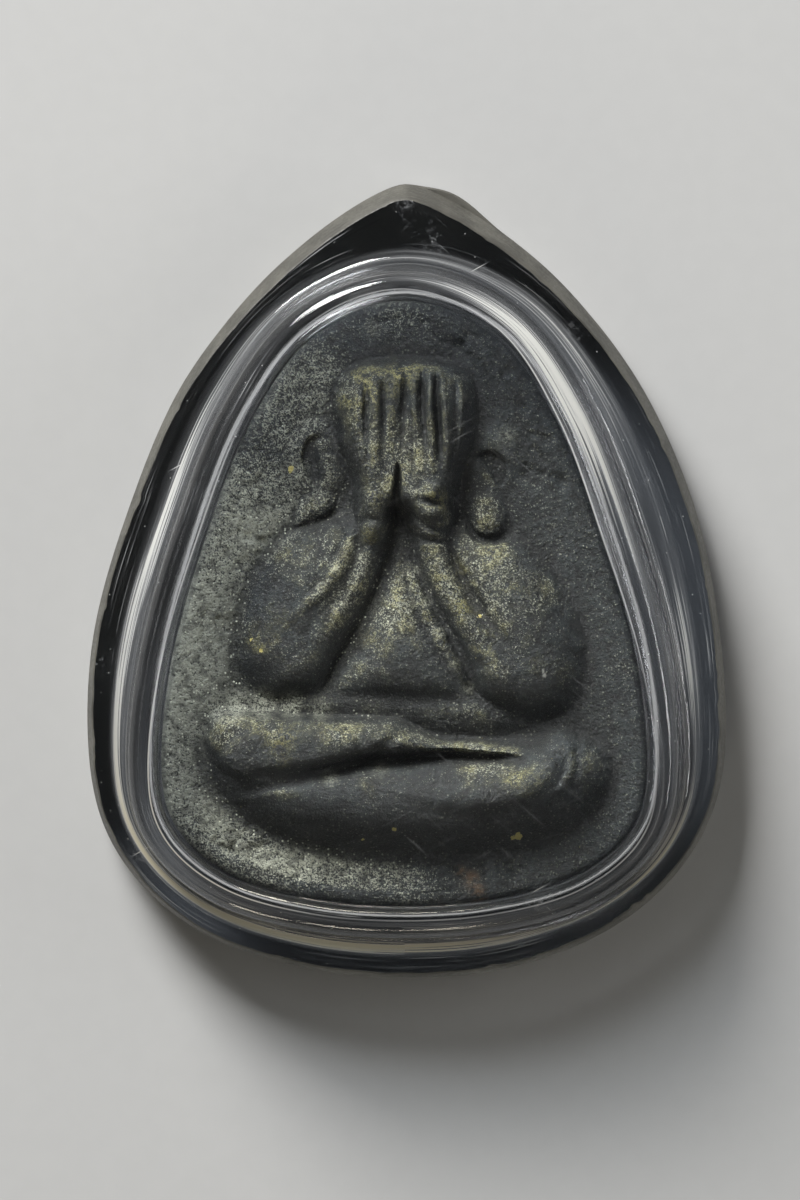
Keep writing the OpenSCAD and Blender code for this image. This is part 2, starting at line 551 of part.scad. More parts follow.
module front_shell() {
    n = len(amulet_outline);
    rim_outward = outward(plain_rim);
    leaning = [for (i = [0:n - 1]) rim_outline[i] - edge_lean(rim_outline[i]) * rim_outward[i]];
    rings = concat(
        carried(outside),
        [[for (p = leaning) [p.x, p.y, rim_top]]],
        [[for (p = rim_outline) [p.x, p.y, rim_z]]],
        carried(cavity)
    );
    count = len(rings);
    caps = [
        [for (i = [n - 1:-1:0]) i],
        [for (i = [0:n - 1]) (count - 1) * n + i]
    ];
    color([0.86, 0.87, 0.84, 0.4])
        translate(centring)
            polyhedron([for (r = rings) each r], concat(bands(count, n), caps));
}

module back_shell() {
    color([0.80, 0.80, 0.76, 0.6])
        translate(centring)
            difference() {
                linear_extrude(back_t)
                    polygon(with_lobe(rim_outline));
                translate([0, 0, back_t - seat_depth])
                    linear_extrude(back_t)
                        polygon(moved(amulet_outline, side_gap));
            }
}

amulet();
front_shell();
back_shell();
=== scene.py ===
"""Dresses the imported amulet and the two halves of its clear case, and sets the stage for the picture."""

import math

import bpy
import numpy as np
from bpy.props import FloatProperty, FloatVectorProperty, PointerProperty
from mathutils import Matrix, Vector


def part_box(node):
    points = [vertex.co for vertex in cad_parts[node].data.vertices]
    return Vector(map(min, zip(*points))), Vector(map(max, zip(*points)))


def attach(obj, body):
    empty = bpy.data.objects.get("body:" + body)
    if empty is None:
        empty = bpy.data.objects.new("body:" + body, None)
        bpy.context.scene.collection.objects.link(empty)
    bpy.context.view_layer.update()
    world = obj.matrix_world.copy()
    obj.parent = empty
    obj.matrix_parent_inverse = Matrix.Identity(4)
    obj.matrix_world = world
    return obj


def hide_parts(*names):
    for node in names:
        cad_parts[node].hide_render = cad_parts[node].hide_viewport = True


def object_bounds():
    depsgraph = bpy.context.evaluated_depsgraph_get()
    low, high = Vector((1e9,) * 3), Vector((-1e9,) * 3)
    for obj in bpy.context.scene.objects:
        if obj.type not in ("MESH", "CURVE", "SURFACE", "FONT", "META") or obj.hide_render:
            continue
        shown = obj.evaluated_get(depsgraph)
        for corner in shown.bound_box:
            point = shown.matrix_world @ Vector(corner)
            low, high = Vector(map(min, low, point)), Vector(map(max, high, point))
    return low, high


bl_info = {
    "name": "Amulet in a Clear Case",
    "version": (1, 0, 0),
    "blender": (4, 5, 0),
    "location": "View3D > Sidebar > Amulet",
    "description": "A cast amulet, the two halves of its clear case, and a studio stage",
    "category": "Add Mesh",
}

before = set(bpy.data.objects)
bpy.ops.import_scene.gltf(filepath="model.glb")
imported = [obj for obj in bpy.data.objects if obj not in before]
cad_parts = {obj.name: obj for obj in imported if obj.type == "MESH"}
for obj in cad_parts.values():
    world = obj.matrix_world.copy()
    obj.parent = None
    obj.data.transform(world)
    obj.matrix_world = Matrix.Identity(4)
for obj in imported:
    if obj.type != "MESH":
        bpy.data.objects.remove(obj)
CAD_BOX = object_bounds()

# Right half of the amulet's outline from bottom to top, in shares of the half width and half height
RIGHT_HALF = [(0, -1), (0.36, -0.978), (0.70, -0.90), (0.93, -0.745), (1, -0.53), (0.955, -0.17),
              (0.82, 0.22), (0.635, 0.60), (0.375, 0.885), (0, 1)]

# Widening of the case at each point of the whole outline, anticlockwise from the bottom: of the rim,
# outwards, and of the crest, inwards, in shares of the widening's own size
WIDENING = [(0, 0), (-0.1, 0), (-0.55, 0), (-0.65, 0), (-0.05, 0.15), (0.45, 0.45), (1, 0.65), (0.6, 0.5),
            (0, 0.2), (-0.25, 0), (-0.45, 0.05), (0.05, 0.3), (0.3, 0.35), (0.3, 0.25), (-0.2, 0.1),
            (-0.55, 0), (-0.4, 0), (-0.15, 0)]

# Polishing haze and painted highlight streaks at the same points: of the crest and of the fillet
HAZE_AND_HIGHLIGHTS = [(0.50, 1.10), (0.45, 0.85), (0.45, 0.70), (0.50, 1.10), (0.45, 0.70), (0.35, 1.0), (0.70, 0.55),
        (1.3, 0.75), (1.0, 0.60), (0.30, 0.50), (0.12, 0.60), (0.15, 0.70), (0.12, 0.90), (0.12, 0.75),
        (0.15, 0.75), (0.30, 1.10), (0.45, 1.25), (0.50, 1.20)]

# Share of the rim's widening that the fillet takes
FILLET_SHARE = 0.65

# Points for each knot: on the border of the amulet's face, on the rings of the case, on the outline of a form
# and on the path of a line
FACE_STEPS = 24
CASE_STEPS = 28
FORM_STEPS = 4
LINE_STEPS = 3

# Cells of the amulet's face, across and up
FACE_COLUMNS = 270
FACE_ROWS = 320

# Rings of the section's rounds: the crest, the fillet, the inside of the window, the amulet's front edge
CREST_RINGS = 14
FILLET_RINGS = 12
INNER_RINGS = 10
EDGE_RINGS = 8

# Width of the flat strip beside a round before the flat face begins, and the same under the back half
FLAT_STRIP = 0.0002
BASE_STRIP = 0.0003

# Greatest depths of the amulet's wavy side, of the case's wavy ground edge and of the nicks in that edge
SIDE_WAVES = 0.00004
EDGE_WAVES = 0.00008
NICKS = 0.0003

# Height over the plaque from which a point counts as on the figure, and width of the border's plain strip
ON_FIGURE = 0.0005
PLAIN_BORDER = 0.0006

# How many cells round a point its height is compared with, to tell hollows and crests
CLOSE_BY = 4
ROUND_ABOUT = 14

# Size of the largest cells, first seed and number of layers of each noise in the shapes
NOISES = {
    "stray across": (0.0016, 70, 3), "stray up": (0.0016, 71, 3), "lumps": (0.0012, 72, 4),
    "grain": (0.0006, 10, 3), "rough ground": (0.0042, 20, 3), "pits": (0.0009, 30, 4),
    "clouds": (0.0035, 40, 4), "side": (0.0006, 50, 4), "ground edge": (0.0024, 60, 4),
    "nicks": (0.0009, 61, 4)}

ACRYLIC_IOR = 1.49

# Gap between the case and the floor, which keeps their faces apart
FLOOR_GAP = 0.00005

# Strip lamps beside the case: place, width, height, share of the side lamps' power, and colour
STRIP_LAMPS = {
    "right strip": ((0.46, 0.06, 0.16), 0.04, 0.40, 3.0, (1, 1, 1)),
    "left strip": ((-0.45, 0.05, 0.26), 0.03, 0.40, 0.35, (1, 1, 1)),
    "low strip": ((-0.08, -0.50, 0.18), 0.30, 0.04, 2.2, (1.0, 0.92, 0.76))}

# Height of the picture, and how far the case's middle is to the right of and above the picture's, in pixels
PICTURE_HEIGHT = 1200
CASE_RIGHT = 6
CASE_UP = 17.5

# Forms of the figure: height as a share of the relief, growth of that height per share up the amulet, width
# of the rounded edge as a share of the half width, and the outline in shares of the half width and height.
FORMS = {
    "skull": (0.56, 0, 0.10, [
        (0, 0.80), (0.16, 0.79), (0.26, 0.74), (0.295, 0.65), (0.29, 0.53), (0.24, 0.44),
        (0, 0.42), (-0.25, 0.46), (-0.295, 0.56), (-0.30, 0.67), (-0.25, 0.755), (-0.14, 0.795)]),
    "left hand": (0.66, 0, 0.09, [
        (-0.02, 0.74), (-0.005, 0.60), (-0.015, 0.46), (-0.03, 0.36), (-0.04, 0.24),
        (-0.10, 0.16), (-0.19, 0.18), (-0.215, 0.28), (-0.22, 0.38), (-0.26, 0.48),
        (-0.285, 0.58), (-0.28, 0.69), (-0.20, 0.745), (-0.10, 0.76)]),
    "right hand": (0.66, 0, 0.09, [
        (0.02, 0.74), (-0.01, 0.60), (-0.015, 0.46), (0, 0.36), (0, 0.26), (0.06, 0.18),
        (0.16, 0.17), (0.205, 0.26), (0.215, 0.36), (0.25, 0.45), (0.28, 0.55), (0.28, 0.68),
        (0.21, 0.735), (0.11, 0.755)]),
    "palms": (0.60, -0.8, 0.09, [
        (0, 0.58), (-0.16, 0.57), (-0.20, 0.50), (-0.20, 0.38), (-0.17, 0.29), (-0.08, 0.265),
        (-0.035, 0.30), (0, 0.275), (0.08, 0.24), (0.16, 0.27), (0.195, 0.36), (0.20, 0.50),
        (0.16, 0.57)]),
    "left ear": (0.15, 0, 0.14, [
        (-0.36, 0.60), (-0.25, 0.58), (-0.20, 0.46), (-0.22, 0.36), (-0.32, 0.33),
        (-0.43, 0.36), (-0.475, 0.47), (-0.45, 0.57)]),
    "left lobe": (0.14, -7, 0.06, [
        (-0.36, 0.385), (-0.30, 0.375), (-0.27, 0.33), (-0.29, 0.285), (-0.36, 0.262),
        (-0.445, 0.243), (-0.45, 0.28), (-0.42, 0.345)]),
    "right ear": (0.16, 0, 0.14, [
        (0.36, 0.60), (0.44, 0.57), (0.48, 0.46), (0.44, 0.37), (0.34, 0.33), (0.22, 0.37),
        (0.20, 0.47), (0.25, 0.57)]),
    "right lobe": (0.14, -8, 0.08, [
        (0.29, 0.42), (0.36, 0.42), (0.405, 0.35), (0.42, 0.275), (0.395, 0.225), (0.335, 0.208),
        (0.265, 0.228), (0.24, 0.285), (0.25, 0.355)]),
    "left upper arm": (0.53, -0.25, 0.20, [
        (-0.40, 0.28), (-0.53, 0.20), (-0.64, 0.06), (-0.69, -0.09), (-0.69, -0.22),
        (-0.60, -0.30), (-0.46, -0.33), (-0.34, -0.28), (-0.24, -0.10), (-0.14, 0.08),
        (-0.12, 0.24), (-0.20, 0.30), (-0.30, 0.29)]),
    "left forearm": (0.59, -0.1, 0.17, [
        (-0.03, 0.30), (-0.07, 0.12), (-0.17, -0.06), (-0.27, -0.20), (-0.37, -0.31),
        (-0.54, -0.31), (-0.60, -0.22), (-0.53, -0.10), (-0.43, -0.02), (-0.33, 0.06),
        (-0.255, 0.15), (-0.22, 0.26), (-0.19, 0.36)]),
    "right upper arm": (0.53, -0.25, 0.20, [
        (0.08, 0.24), (0.12, 0.08), (0.22, -0.10), (0.30, -0.28), (0.38, -0.375),
        (0.50, -0.395), (0.64, -0.36), (0.725, -0.26), (0.73, -0.14), (0.68, 0),
        (0.59, 0.12), (0.48, 0.21), (0.36, 0.25), (0.22, 0.27)]),
    "right forearm": (0.61, -0.1, 0.12, [
        (0.01, 0.30), (0.03, 0.14), (0.08, 0.02), (0.16, -0.10), (0.23, -0.21), (0.29, -0.31),
        (0.40, -0.36), (0.52, -0.32), (0.50, -0.18), (0.38, -0.07), (0.30, 0.02),
        (0.235, 0.12), (0.20, 0.24), (0.16, 0.34)]),
    "chest and belly": (0.51, -0.1, 0.20, [
        (-0.02, 0.29), (-0.06, 0.18), (-0.10, 0.08), (-0.19, -0.07), (-0.29, -0.22), (-0.34, -0.31),
        (-0.20, -0.335), (0.05, -0.345), (0.30, -0.335), (0.28, -0.26), (0.20, -0.14),
        (0.12, -0.02), (0.06, 0.10), (0.025, 0.22)]),
    "lap": (0.22, 0, 0.14, [
        (-0.46, -0.28), (-0.20, -0.25), (0.20, -0.26), (0.44, -0.30), (0.50, -0.40),
        (0.30, -0.44), (0, -0.42), (-0.30, -0.40), (-0.52, -0.37)]),
    "base": (0.72, 0, 0.20, [
        (-0.80, -0.47), (-0.79, -0.58), (-0.68, -0.69), (-0.50, -0.77), (-0.20, -0.815),
        (0.20, -0.825), (0.50, -0.79), (0.71, -0.72), (0.82, -0.62), (0.835, -0.52),
        (0.77, -0.44), (0.60, -0.415), (0.20, -0.46), (-0.30, -0.44), (-0.70, -0.42)]),
    "left leg": (0.76, -0.2, 0.10, [
        (-0.82, -0.46), (-0.80, -0.39), (-0.72, -0.345), (-0.50, -0.35), (-0.25, -0.36),
        (-0.05, -0.365), (0.05, -0.40), (0.16, -0.44), (0.38, -0.455), (0.465, -0.495),
        (0.38, -0.52), (0.10, -0.52), (-0.10, -0.535), (-0.30, -0.57), (-0.50, -0.60),
        (-0.68, -0.605), (-0.78, -0.55)]),
    "right leg": (0.96, -0.25, 0.16, [
        (-0.68, -0.645), (-0.50, -0.60), (-0.30, -0.565), (-0.10, -0.535), (0.20, -0.51),
        (0.42, -0.49), (0.54, -0.43), (0.65, -0.41), (0.72, -0.45), (0.74, -0.54),
        (0.70, -0.62), (0.60, -0.69), (0.44, -0.735), (0.25, -0.75), (0.08, -0.735),
        (-0.06, -0.70), (-0.25, -0.675), (-0.45, -0.685), (-0.60, -0.69)]),
}

# Thin ridges and grooves: rows of place across and up in shares of the half width and height, radius as a
# share of the half width, and height as a share of the relief, which is negative for a groove.
LINES = {
    "between the legs": [
        [(-0.64, -0.61, 0.03, -0.05), (-0.45, -0.58, 0.045, -0.12), (-0.20, -0.52, 0.05, -0.14),
         (0.10, -0.505, 0.045, -0.12), (0.32, -0.508, 0.035, -0.12), (0.47, -0.512, 0.028, -0.05)]],
    "fingers of the right hand": [
        [(0.035, 0.74, 0.014, 0.01), (0.036, 0.70, 0.018, 0.07), (0.04, 0.60, 0.018, 0.08),
         (0.048, 0.50, 0.018, 0.05), (0.055, 0.42, 0.014, 0.01)],
        [(0.10, 0.75, 0.014, 0.01), (0.102, 0.71, 0.018, 0.08), (0.105, 0.61, 0.018, 0.10),
         (0.113, 0.50, 0.018, 0.07), (0.12, 0.41, 0.014, 0.01)],
        [(0.155, 0.73, 0.014, 0.01), (0.16, 0.69, 0.018, 0.08), (0.168, 0.60, 0.018, 0.10),
         (0.175, 0.49, 0.018, 0.07), (0.175, 0.40, 0.014, 0.01)],
        [(0.22, 0.70, 0.014, 0.01), (0.228, 0.66, 0.02, 0.04), (0.235, 0.58, 0.022, 0.05),
         (0.225, 0.48, 0.02, 0.02), (0.21, 0.42, 0.016, 0.01)],
        [(0.068, 0.76, 0.012, -0.01), (0.07, 0.72, 0.020, -0.10), (0.075, 0.62, 0.020, -0.10),
         (0.083, 0.51, 0.014, -0.04), (0.09, 0.43, 0.010, -0.01)],
        [(0.128, 0.755, 0.012, -0.01), (0.13, 0.715, 0.022, -0.12), (0.137, 0.62, 0.022, -0.12),
         (0.145, 0.50, 0.016, -0.05), (0.148, 0.42, 0.010, -0.01)],
        [(0.195, 0.73, 0.012, -0.01), (0.20, 0.69, 0.022, -0.09), (0.205, 0.60, 0.020, -0.08),
         (0.20, 0.49, 0.014, -0.04), (0.195, 0.42, 0.010, -0.01)]],
    "fingers of the left hand": [
        [(-0.045, 0.73, 0.014, 0.01), (-0.05, 0.69, 0.022, 0.05), (-0.055, 0.60, 0.026, 0.06),
         (-0.06, 0.49, 0.024, 0.03), (-0.06, 0.42, 0.018, 0.01)],
        [(-0.115, 0.74, 0.014, 0.01), (-0.12, 0.70, 0.024, 0.05), (-0.125, 0.60, 0.026, 0.05),
         (-0.125, 0.50, 0.024, 0.03), (-0.12, 0.43, 0.018, 0.01)],
        [(-0.18, 0.71, 0.014, 0.01), (-0.185, 0.67, 0.024, 0.03), (-0.19, 0.60, 0.026, 0.03),
         (-0.18, 0.51, 0.024, 0.02), (-0.17, 0.45, 0.018, 0.01)],
        [(0, 0.75, 0.012, -0.01), (-0.004, 0.71, 0.022, -0.09), (-0.008, 0.64, 0.022, -0.09),
         (-0.012, 0.56, 0.018, -0.04), (-0.016, 0.48, 0.012, -0.01)],
        [(-0.085, 0.73, 0.012, -0.01), (-0.09, 0.69, 0.02, -0.07), (-0.092, 0.60, 0.018, -0.07),
         (-0.092, 0.50, 0.014, -0.03), (-0.09, 0.43, 0.010, -0.01)],
        [(-0.15, 0.72, 0.012, -0.01), (-0.155, 0.68, 0.018, -0.06), (-0.158, 0.60, 0.018, -0.06),
         (-0.152, 0.51, 0.014, -0.02), (-0.145, 0.45, 0.010, -0.01)]],
    "slit between the palms": [
        [(-0.026, 0.45, 0.012, -0.05), (-0.028, 0.41, 0.020, -0.18), (-0.030, 0.36, 0.026, -0.24),
         (-0.032, 0.32, 0.024, -0.16), (-0.034, 0.295, 0.016, -0.04)]],
    "lumps of the palms": [
        [(0.10, 0.375, 0.04, 0.03), (0.12, 0.365, 0.045, 0.07), (0.15, 0.35, 0.04, 0.03)],
        [(0.05, 0.315, 0.03, 0.04), (0.09, 0.30, 0.035, 0.07), (0.15, 0.305, 0.03, 0.05)],
        [(-0.18, 0.35, 0.04, 0.03), (-0.14, 0.34, 0.05, 0.05), (-0.09, 0.33, 0.04, 0.03)]],
    "creases of the wrists": [
        [(-0.20, 0.265, 0.02, -0.02), (-0.15, 0.275, 0.026, -0.08), (-0.08, 0.27, 0.02, -0.03)],
        [(0.02, 0.30, 0.016, -0.04), (0.08, 0.255, 0.024, -0.10), (0.14, 0.24, 0.02, -0.07),
         (0.19, 0.25, 0.016, -0.02)],
        [(0.04, 0.215, 0.018, -0.03), (0.10, 0.205, 0.022, -0.07), (0.18, 0.20, 0.016, -0.02)],
        [(0.06, 0.34, 0.016, -0.03), (0.11, 0.335, 0.02, -0.07), (0.17, 0.33, 0.016, -0.02)]],
    "hollows of the ears": [
        [(-0.345, 0.535, 0.014, -0.06), (-0.375, 0.525, 0.024, -0.14), (-0.385, 0.49, 0.034, -0.22),
         (-0.38, 0.45, 0.038, -0.24), (-0.365, 0.41, 0.032, -0.18), (-0.355, 0.38, 0.020, -0.05)],
        [(-0.46, 0.238, 0.012, -0.02), (-0.38, 0.252, 0.018, -0.07), (-0.30, 0.28, 0.018, -0.06),
         (-0.27, 0.32, 0.012, -0.01)],
        [(0.29, 0.475, 0.020, -0.06), (0.325, 0.475, 0.036, -0.18), (0.36, 0.455, 0.046, -0.26),
         (0.38, 0.425, 0.042, -0.24), (0.385, 0.395, 0.026, -0.10)],
        [(0.245, 0.275, 0.012, -0.03), (0.268, 0.232, 0.020, -0.12), (0.33, 0.204, 0.026, -0.20),
         (0.395, 0.214, 0.024, -0.16), (0.43, 0.24, 0.014, -0.03)]],
    "folds of the legs": [
        [(-0.235, -0.40, 0.014, -0.01), (-0.245, -0.45, 0.02, -0.05), (-0.235, -0.50, 0.016, -0.01)],
        [(-0.19, -0.39, 0.014, -0.01), (-0.185, -0.45, 0.02, -0.04), (-0.19, -0.49, 0.016, -0.01)],
        [(0.135, -0.57, 0.016, -0.01), (0.12, -0.62, 0.024, -0.05), (0.125, -0.67, 0.016, -0.01)],
        [(-0.735, -0.57, 0.02, -0.01), (-0.745, -0.50, 0.03, -0.07), (-0.70, -0.435, 0.03, -0.08),
         (-0.61, -0.405, 0.026, -0.05), (-0.50, -0.40, 0.02, -0.01)],
        [(-0.73, -0.52, 0.02, 0.01), (-0.66, -0.55, 0.024, 0.05), (-0.57, -0.58, 0.02, 0.01)],
        [(0.54, -0.41, 0.02, 0.01), (0.65, -0.455, 0.026, 0.05), (0.675, -0.53, 0.026, 0.06),
         (0.62, -0.61, 0.024, 0.05), (0.50, -0.66, 0.02, 0.01)],
        [(0.53, -0.44, 0.03, -0.01), (0.625, -0.485, 0.04, -0.06), (0.63, -0.54, 0.04, -0.06),
         (0.56, -0.61, 0.03, -0.01)],
        [(0.04, -0.41, 0.02, -0.01), (-0.06, -0.45, 0.03, -0.06), (-0.18, -0.52, 0.03, -0.04)],
        [(0.06, -0.43, 0.03, 0.03), (0.20, -0.46, 0.034, 0.10), (0.34, -0.472, 0.036, 0.14),
         (0.43, -0.482, 0.032, 0.12), (0.47, -0.487, 0.026, 0.03)]],
    "folds of the arms": [
        [(0.16, 0.21, 0.02, -0.02), (0.22, 0.11, 0.026, -0.07), (0.30, 0, 0.028, -0.08),
         (0.37, -0.08, 0.026, -0.06), (0.44, -0.16, 0.02, -0.01)],
        [(-0.19, 0.33, 0.024, 0.01), (-0.205, 0.218, 0.03, 0.06), (-0.285, 0.095, 0.034, 0.07),
         (-0.37, 0.01, 0.032, 0.05), (-0.48, -0.065, 0.026, 0.01)]],
    "fold and hollow of the belly": [
        [(0.02, 0.16, 0.034, 0.05), (0.055, 0.04, 0.044, 0.17), (0.13, -0.09, 0.050, 0.20),
         (0.215, -0.21, 0.046, 0.16), (0.26, -0.275, 0.036, 0.04)],
        [(-0.14, -0.15, 0.09, -0.02), (-0.02, -0.19, 0.13, -0.04), (0.10, -0.20, 0.09, -0.02)]],
}

# Spots: place in shares of the amulet's half width and half height, radius as a share of the half width, and
# strength where it isn't full
GOLD_FLECKS = [(-0.46, 0.435, 0.016), (-0.465, 0.425, 0.010), (0.455, -0.76, 0.022), (0.43, -0.765, 0.012),
               (-0.045, -0.735, 0.013), (-0.58, -0.155, 0.013), (0.945, -0.335, 0.010), (-0.62, -0.12, 0.010),
               (0.30, -0.045, 0.013), (-0.17, -0.77, 0.010)]
WHITE_FLECKS = [(0.56, -0.235, 0.010), (0.555, -0.22, 0.007)]
BROWN_STAINS = [(0.26, -0.90, 0.055), (0.22, -0.875, 0.035), (0.29, -0.93, 0.03)]
SCUFFS = [(0.12, 1.145, 0.07), (0.30, 1.08, 0.06), (0.66, 0.87, 0.07), (-0.91, 0.43, 0.05),
          (-1.23, -0.21, 0.06), (0, 1.29, 0.05), (0.96, 0.38, 0.08), (0.54, -0.96, 0.10),
          (0.20, -1.12, 0.09), (-1.03, -0.81, 0.12), (0.96, -0.81, 0.10)]
ROUGH_GROUND = [(0.55, 0.60, 0.16), (0.52, 0.45, 0.13), (-0.68, 0.42, 0.14), (-0.86, 0.10, 0.08),
                (0.75, 0.30, 0.12), (0.40, -0.88, 0.10), (-0.62, 0.55, 0.10), (0.62, 0.42, 0.10)]
# Pale dust, and painted highlights on the lit top of the left knee and leg, the belly's fold and the left
# arm's fold
PALE_DUST_AND_HIGHLIGHTS = [(-0.76, -0.35, 0.08, 0.8), (-0.68, -0.335, 0.09, 1.0), (-0.58, -0.33, 0.09, 0.9),
             (-0.46, -0.335, 0.08, 0.7), (-0.34, -0.345, 0.07, 0.5), (-0.84, -0.42, 0.06, 0.7),
             (-0.87, -0.50, 0.05, 0.5), (-0.14, 0.885, 0.05, 0.5), (0.41, 0.54, 0.06, 0.6),
             (-0.40, 0.57, 0.05, 0.4), (0.03, 0.10, 0.035, 0.5), (0.08, 0, 0.035, 0.5),
             (0.14, -0.10, 0.035, 0.5), (0.20, -0.20, 0.035, 0.5), (0.25, -0.28, 0.04, 0.5),
             (-0.22, 0.19, 0.03, 0.4), (-0.28, 0.11, 0.035, 0.5), (-0.34, 0.05, 0.035, 0.4),
             (-0.30, -0.57, 0.05, 0.3), (-0.10, -0.545, 0.05, 0.3)]
# Painted shade: spots in the ear hollows, on and under the legs, at the elbows and under the belly, where the
# powder is darker and loses its pale grains and wear
SHADED_FACES = [(-0.375, 0.475, 0.045, 0.9), (-0.355, 0.42, 0.045, 0.9), (0.365, 0.455, 0.05, 0.8),
               (-0.62, -0.48, 0.14, 0.6), (-0.40, -0.47, 0.16, 0.5), (-0.15, -0.46, 0.14, 0.4),
               (-0.30, -0.63, 0.22, 0.8), (0.05, -0.62, 0.26, 1.0), (0.35, -0.69, 0.20, 0.9),
               (0.62, -0.10, 0.16, 0.4), (-0.62, -0.20, 0.14, 0.4), (0, -0.24, 0.20, 0.4),
               (-0.10, -0.56, 0.14, 0.4)]
YELLOW_WEAR = [(-0.14, 0.70, 0.15, 1.0), (-0.02, 0.75, 0.14, 0.9), (0.14, 0.34, 0.07, 0.9),
               (-0.60, -0.13, 0.07, 0.9), (0.20, 0.10, 0.10, 1.0), (0.26, -0.02, 0.09, 0.7),
               (0.31, -0.12, 0.07, 0.6), (-0.83, 0.13, 0.05, 0.9), (-0.15, 0.22, 0.06, 0.6),
               (-0.17, -0.12, 0.08, 0.4), (-0.50, -0.46, 0.14, 0.5), (0.45, -0.60, 0.14, 0.4),
               (-0.24, 0.66, 0.05, 0.8), (0.40, 0.05, 0.15, 0.3), (-0.52, -0.05, 0.15, 0.25)]


def length(name, description, default):
    """A length in metres that the sidebar shows in the scene's unit."""
    return FloatProperty(name=name, description=description, default=default, min=0.0, precision=5,
                         subtype="DISTANCE", unit="LENGTH")


def colour(name, description, default):
    """A colour for a shader."""
    return FloatVectorProperty(name=name, description=description, default=default, size=3,
                               min=0.0, max=1.0, subtype="COLOR")


def share(name, description, default, high=1.0):
    """A number between nothing and its highest value."""
    return FloatProperty(name=name, description=description, default=default, min=0.0, max=high,
                         subtype="FACTOR")


def node_size(node, axis):
    """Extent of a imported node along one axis."""
    low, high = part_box(node)
    return high[axis] - low[axis]


class AmuletSizes(bpy.types.PropertyGroup):
    """Sizes of the cast amulet"""
    width: length("Width", "Width of the amulet", node_size("amulet", 0))
    height: length("Height", "Height of the amulet", node_size("amulet", 1))
    plaque: length("Plaque", "Thickness of the plaque behind the figure", 0.0028)
    relief: length("Relief", "Height of the figure's highest point over the plaque", 0.003)
    front_round: length("Front edge", "Rounding of the plaque's front edge", 0.0008)
    back_round: length("Back edge", "Rounding of the plaque's back edge", 0.0003)
    blend: length("Blend", "Reach of the soft meeting of two forms", 0.00035)
    grain: length("Grain", "Depth of the cast grain", 0.00006)
    pits: length("Pits", "Depth of the rough patches and pits", 0.0002)
    lumps: length("Lumps", "Height of the low lumps on the figure", 0.00008)
    stray: length("Stray", "How far the figure's edges stray", 0.00012)


class CaseSizes(bpy.types.PropertyGroup):
    """Sizes of the clear case"""
    side_gap: length("Side gap", "Gap round the amulet", 0.0003)
    wall: length("Wall", "Thickness of the wall round the amulet", 0.00115)
    wall_draft: length("Wall draft", "Lean of the wall's outside", 0.0002)
    window: length("Window", "Thickness of the window", 0.0015)
    crest: length("Crest", "Rounding where wall and window meet", 0.00095)
    inner: length("Inner rounding", "Rounding inside, where wall and window meet", 0.0007)
    foot: length("Foot", "Radius of the hollow fillet at the foot of the wall", 0.0009)
    rim: length("Rim", "Thickness of the rim", 0.0016)
    rim_width: length("Rim width", "Width of the flat rim outside the fillet", 0.00127)
    swell: length("Widening", "Widening of the rim where it is widest", 0.0009)
    edge_lean: length("Edge lean", "How far the ground edge leans in, all round", 0.00025)
    tip_lean: length("Tip lean", "How much further the ground edge leans in beside the tip", 0.00045)
    tip_rise: length("Tip rise", "Rise of the tip over the plain outline", 0.0021)
    tip_width: length("Tip width", "Distance over which the rise dies out", 0.009)
    tip_radius: length("Tip rounding", "Rounding of the tip", 0.0006)
    back: length("Back", "Thickness of the back half", 0.0018)
    seat: length("Seat", "Depth of the seat that the amulet lies in", 0.0005)
    lobe: length("Bulge", "How far the back half stands out beside the tip", 0.0004)
    lobe_place: length("Bulge place", "Place of the bulge to the right of the tip", 0.0026)
    lobe_width: length("Bulge width", "Half width of the bulge", 0.0024)
    ground_corner: length("Ground corner", "Width of the broken corner of the ground edges", 0.00008)


class Finishes(bpy.types.PropertyGroup):
    """Colours of the amulet and the case"""
    powder: colour("Powder", "Dark grey of the pressed powder", (0.027, 0.033, 0.036))
    pale_grain: colour("Pale grain", "Pale grains in the powder", (0.53, 0.54, 0.44))
    yellow_wear: colour("Yellow wear", "Yellowish wear of the high spots", (0.42, 0.39, 0.17))
    gold: colour("Gold", "Bright flecks", (0.74, 0.64, 0.24))
    white: colour("White", "White flecks", (0.70, 0.70, 0.66))
    brown: colour("Brown", "Brown stain at the lower edge", (0.13, 0.075, 0.038))
    window: colour("Window", "Tint of the clear window at each face", (0.96, 0.965, 0.955))
    acrylic: colour("Acrylic", "Tint of the handled rim and wall at each face", (0.60, 0.615, 0.64))
    ground: colour("Ground edge", "Frosted ground edge of the acrylic", (0.10, 0.096, 0.08))
    # The scratch whites below are also the colours of the painted highlight streaks and line on the crest and
    # fillet
    scratch: colour("Scratch", "White of a scratch in the acrylic", (0.62, 0.62, 0.58))
    low_scratch: colour("Low scratch", "Beige of the scratches at the bottom", (0.46, 0.42, 0.31))


class StageSettings(bpy.types.PropertyGroup):
    """Floor, lamps and camera"""
    floor: colour("Floor", "Plain pale floor", (0.52, 0.52, 0.51))
    key: FloatProperty(name="Key lamp", description="Power of the large lamp over the top left",
                       default=7.0, min=0.0, unit="POWER")
    side: FloatProperty(name="Side lamps", description="Power of the strip lamps beside the case",
                        default=0.2, min=0.0, unit="POWER")
    room: share("Room light", "Brightness of the room", 0.03)
    distance: length("Camera distance", "Distance of the camera from the case", 0.6)
    view_height: length("View height", "Height of the view at the case", 0.06)


# Curves and outlines

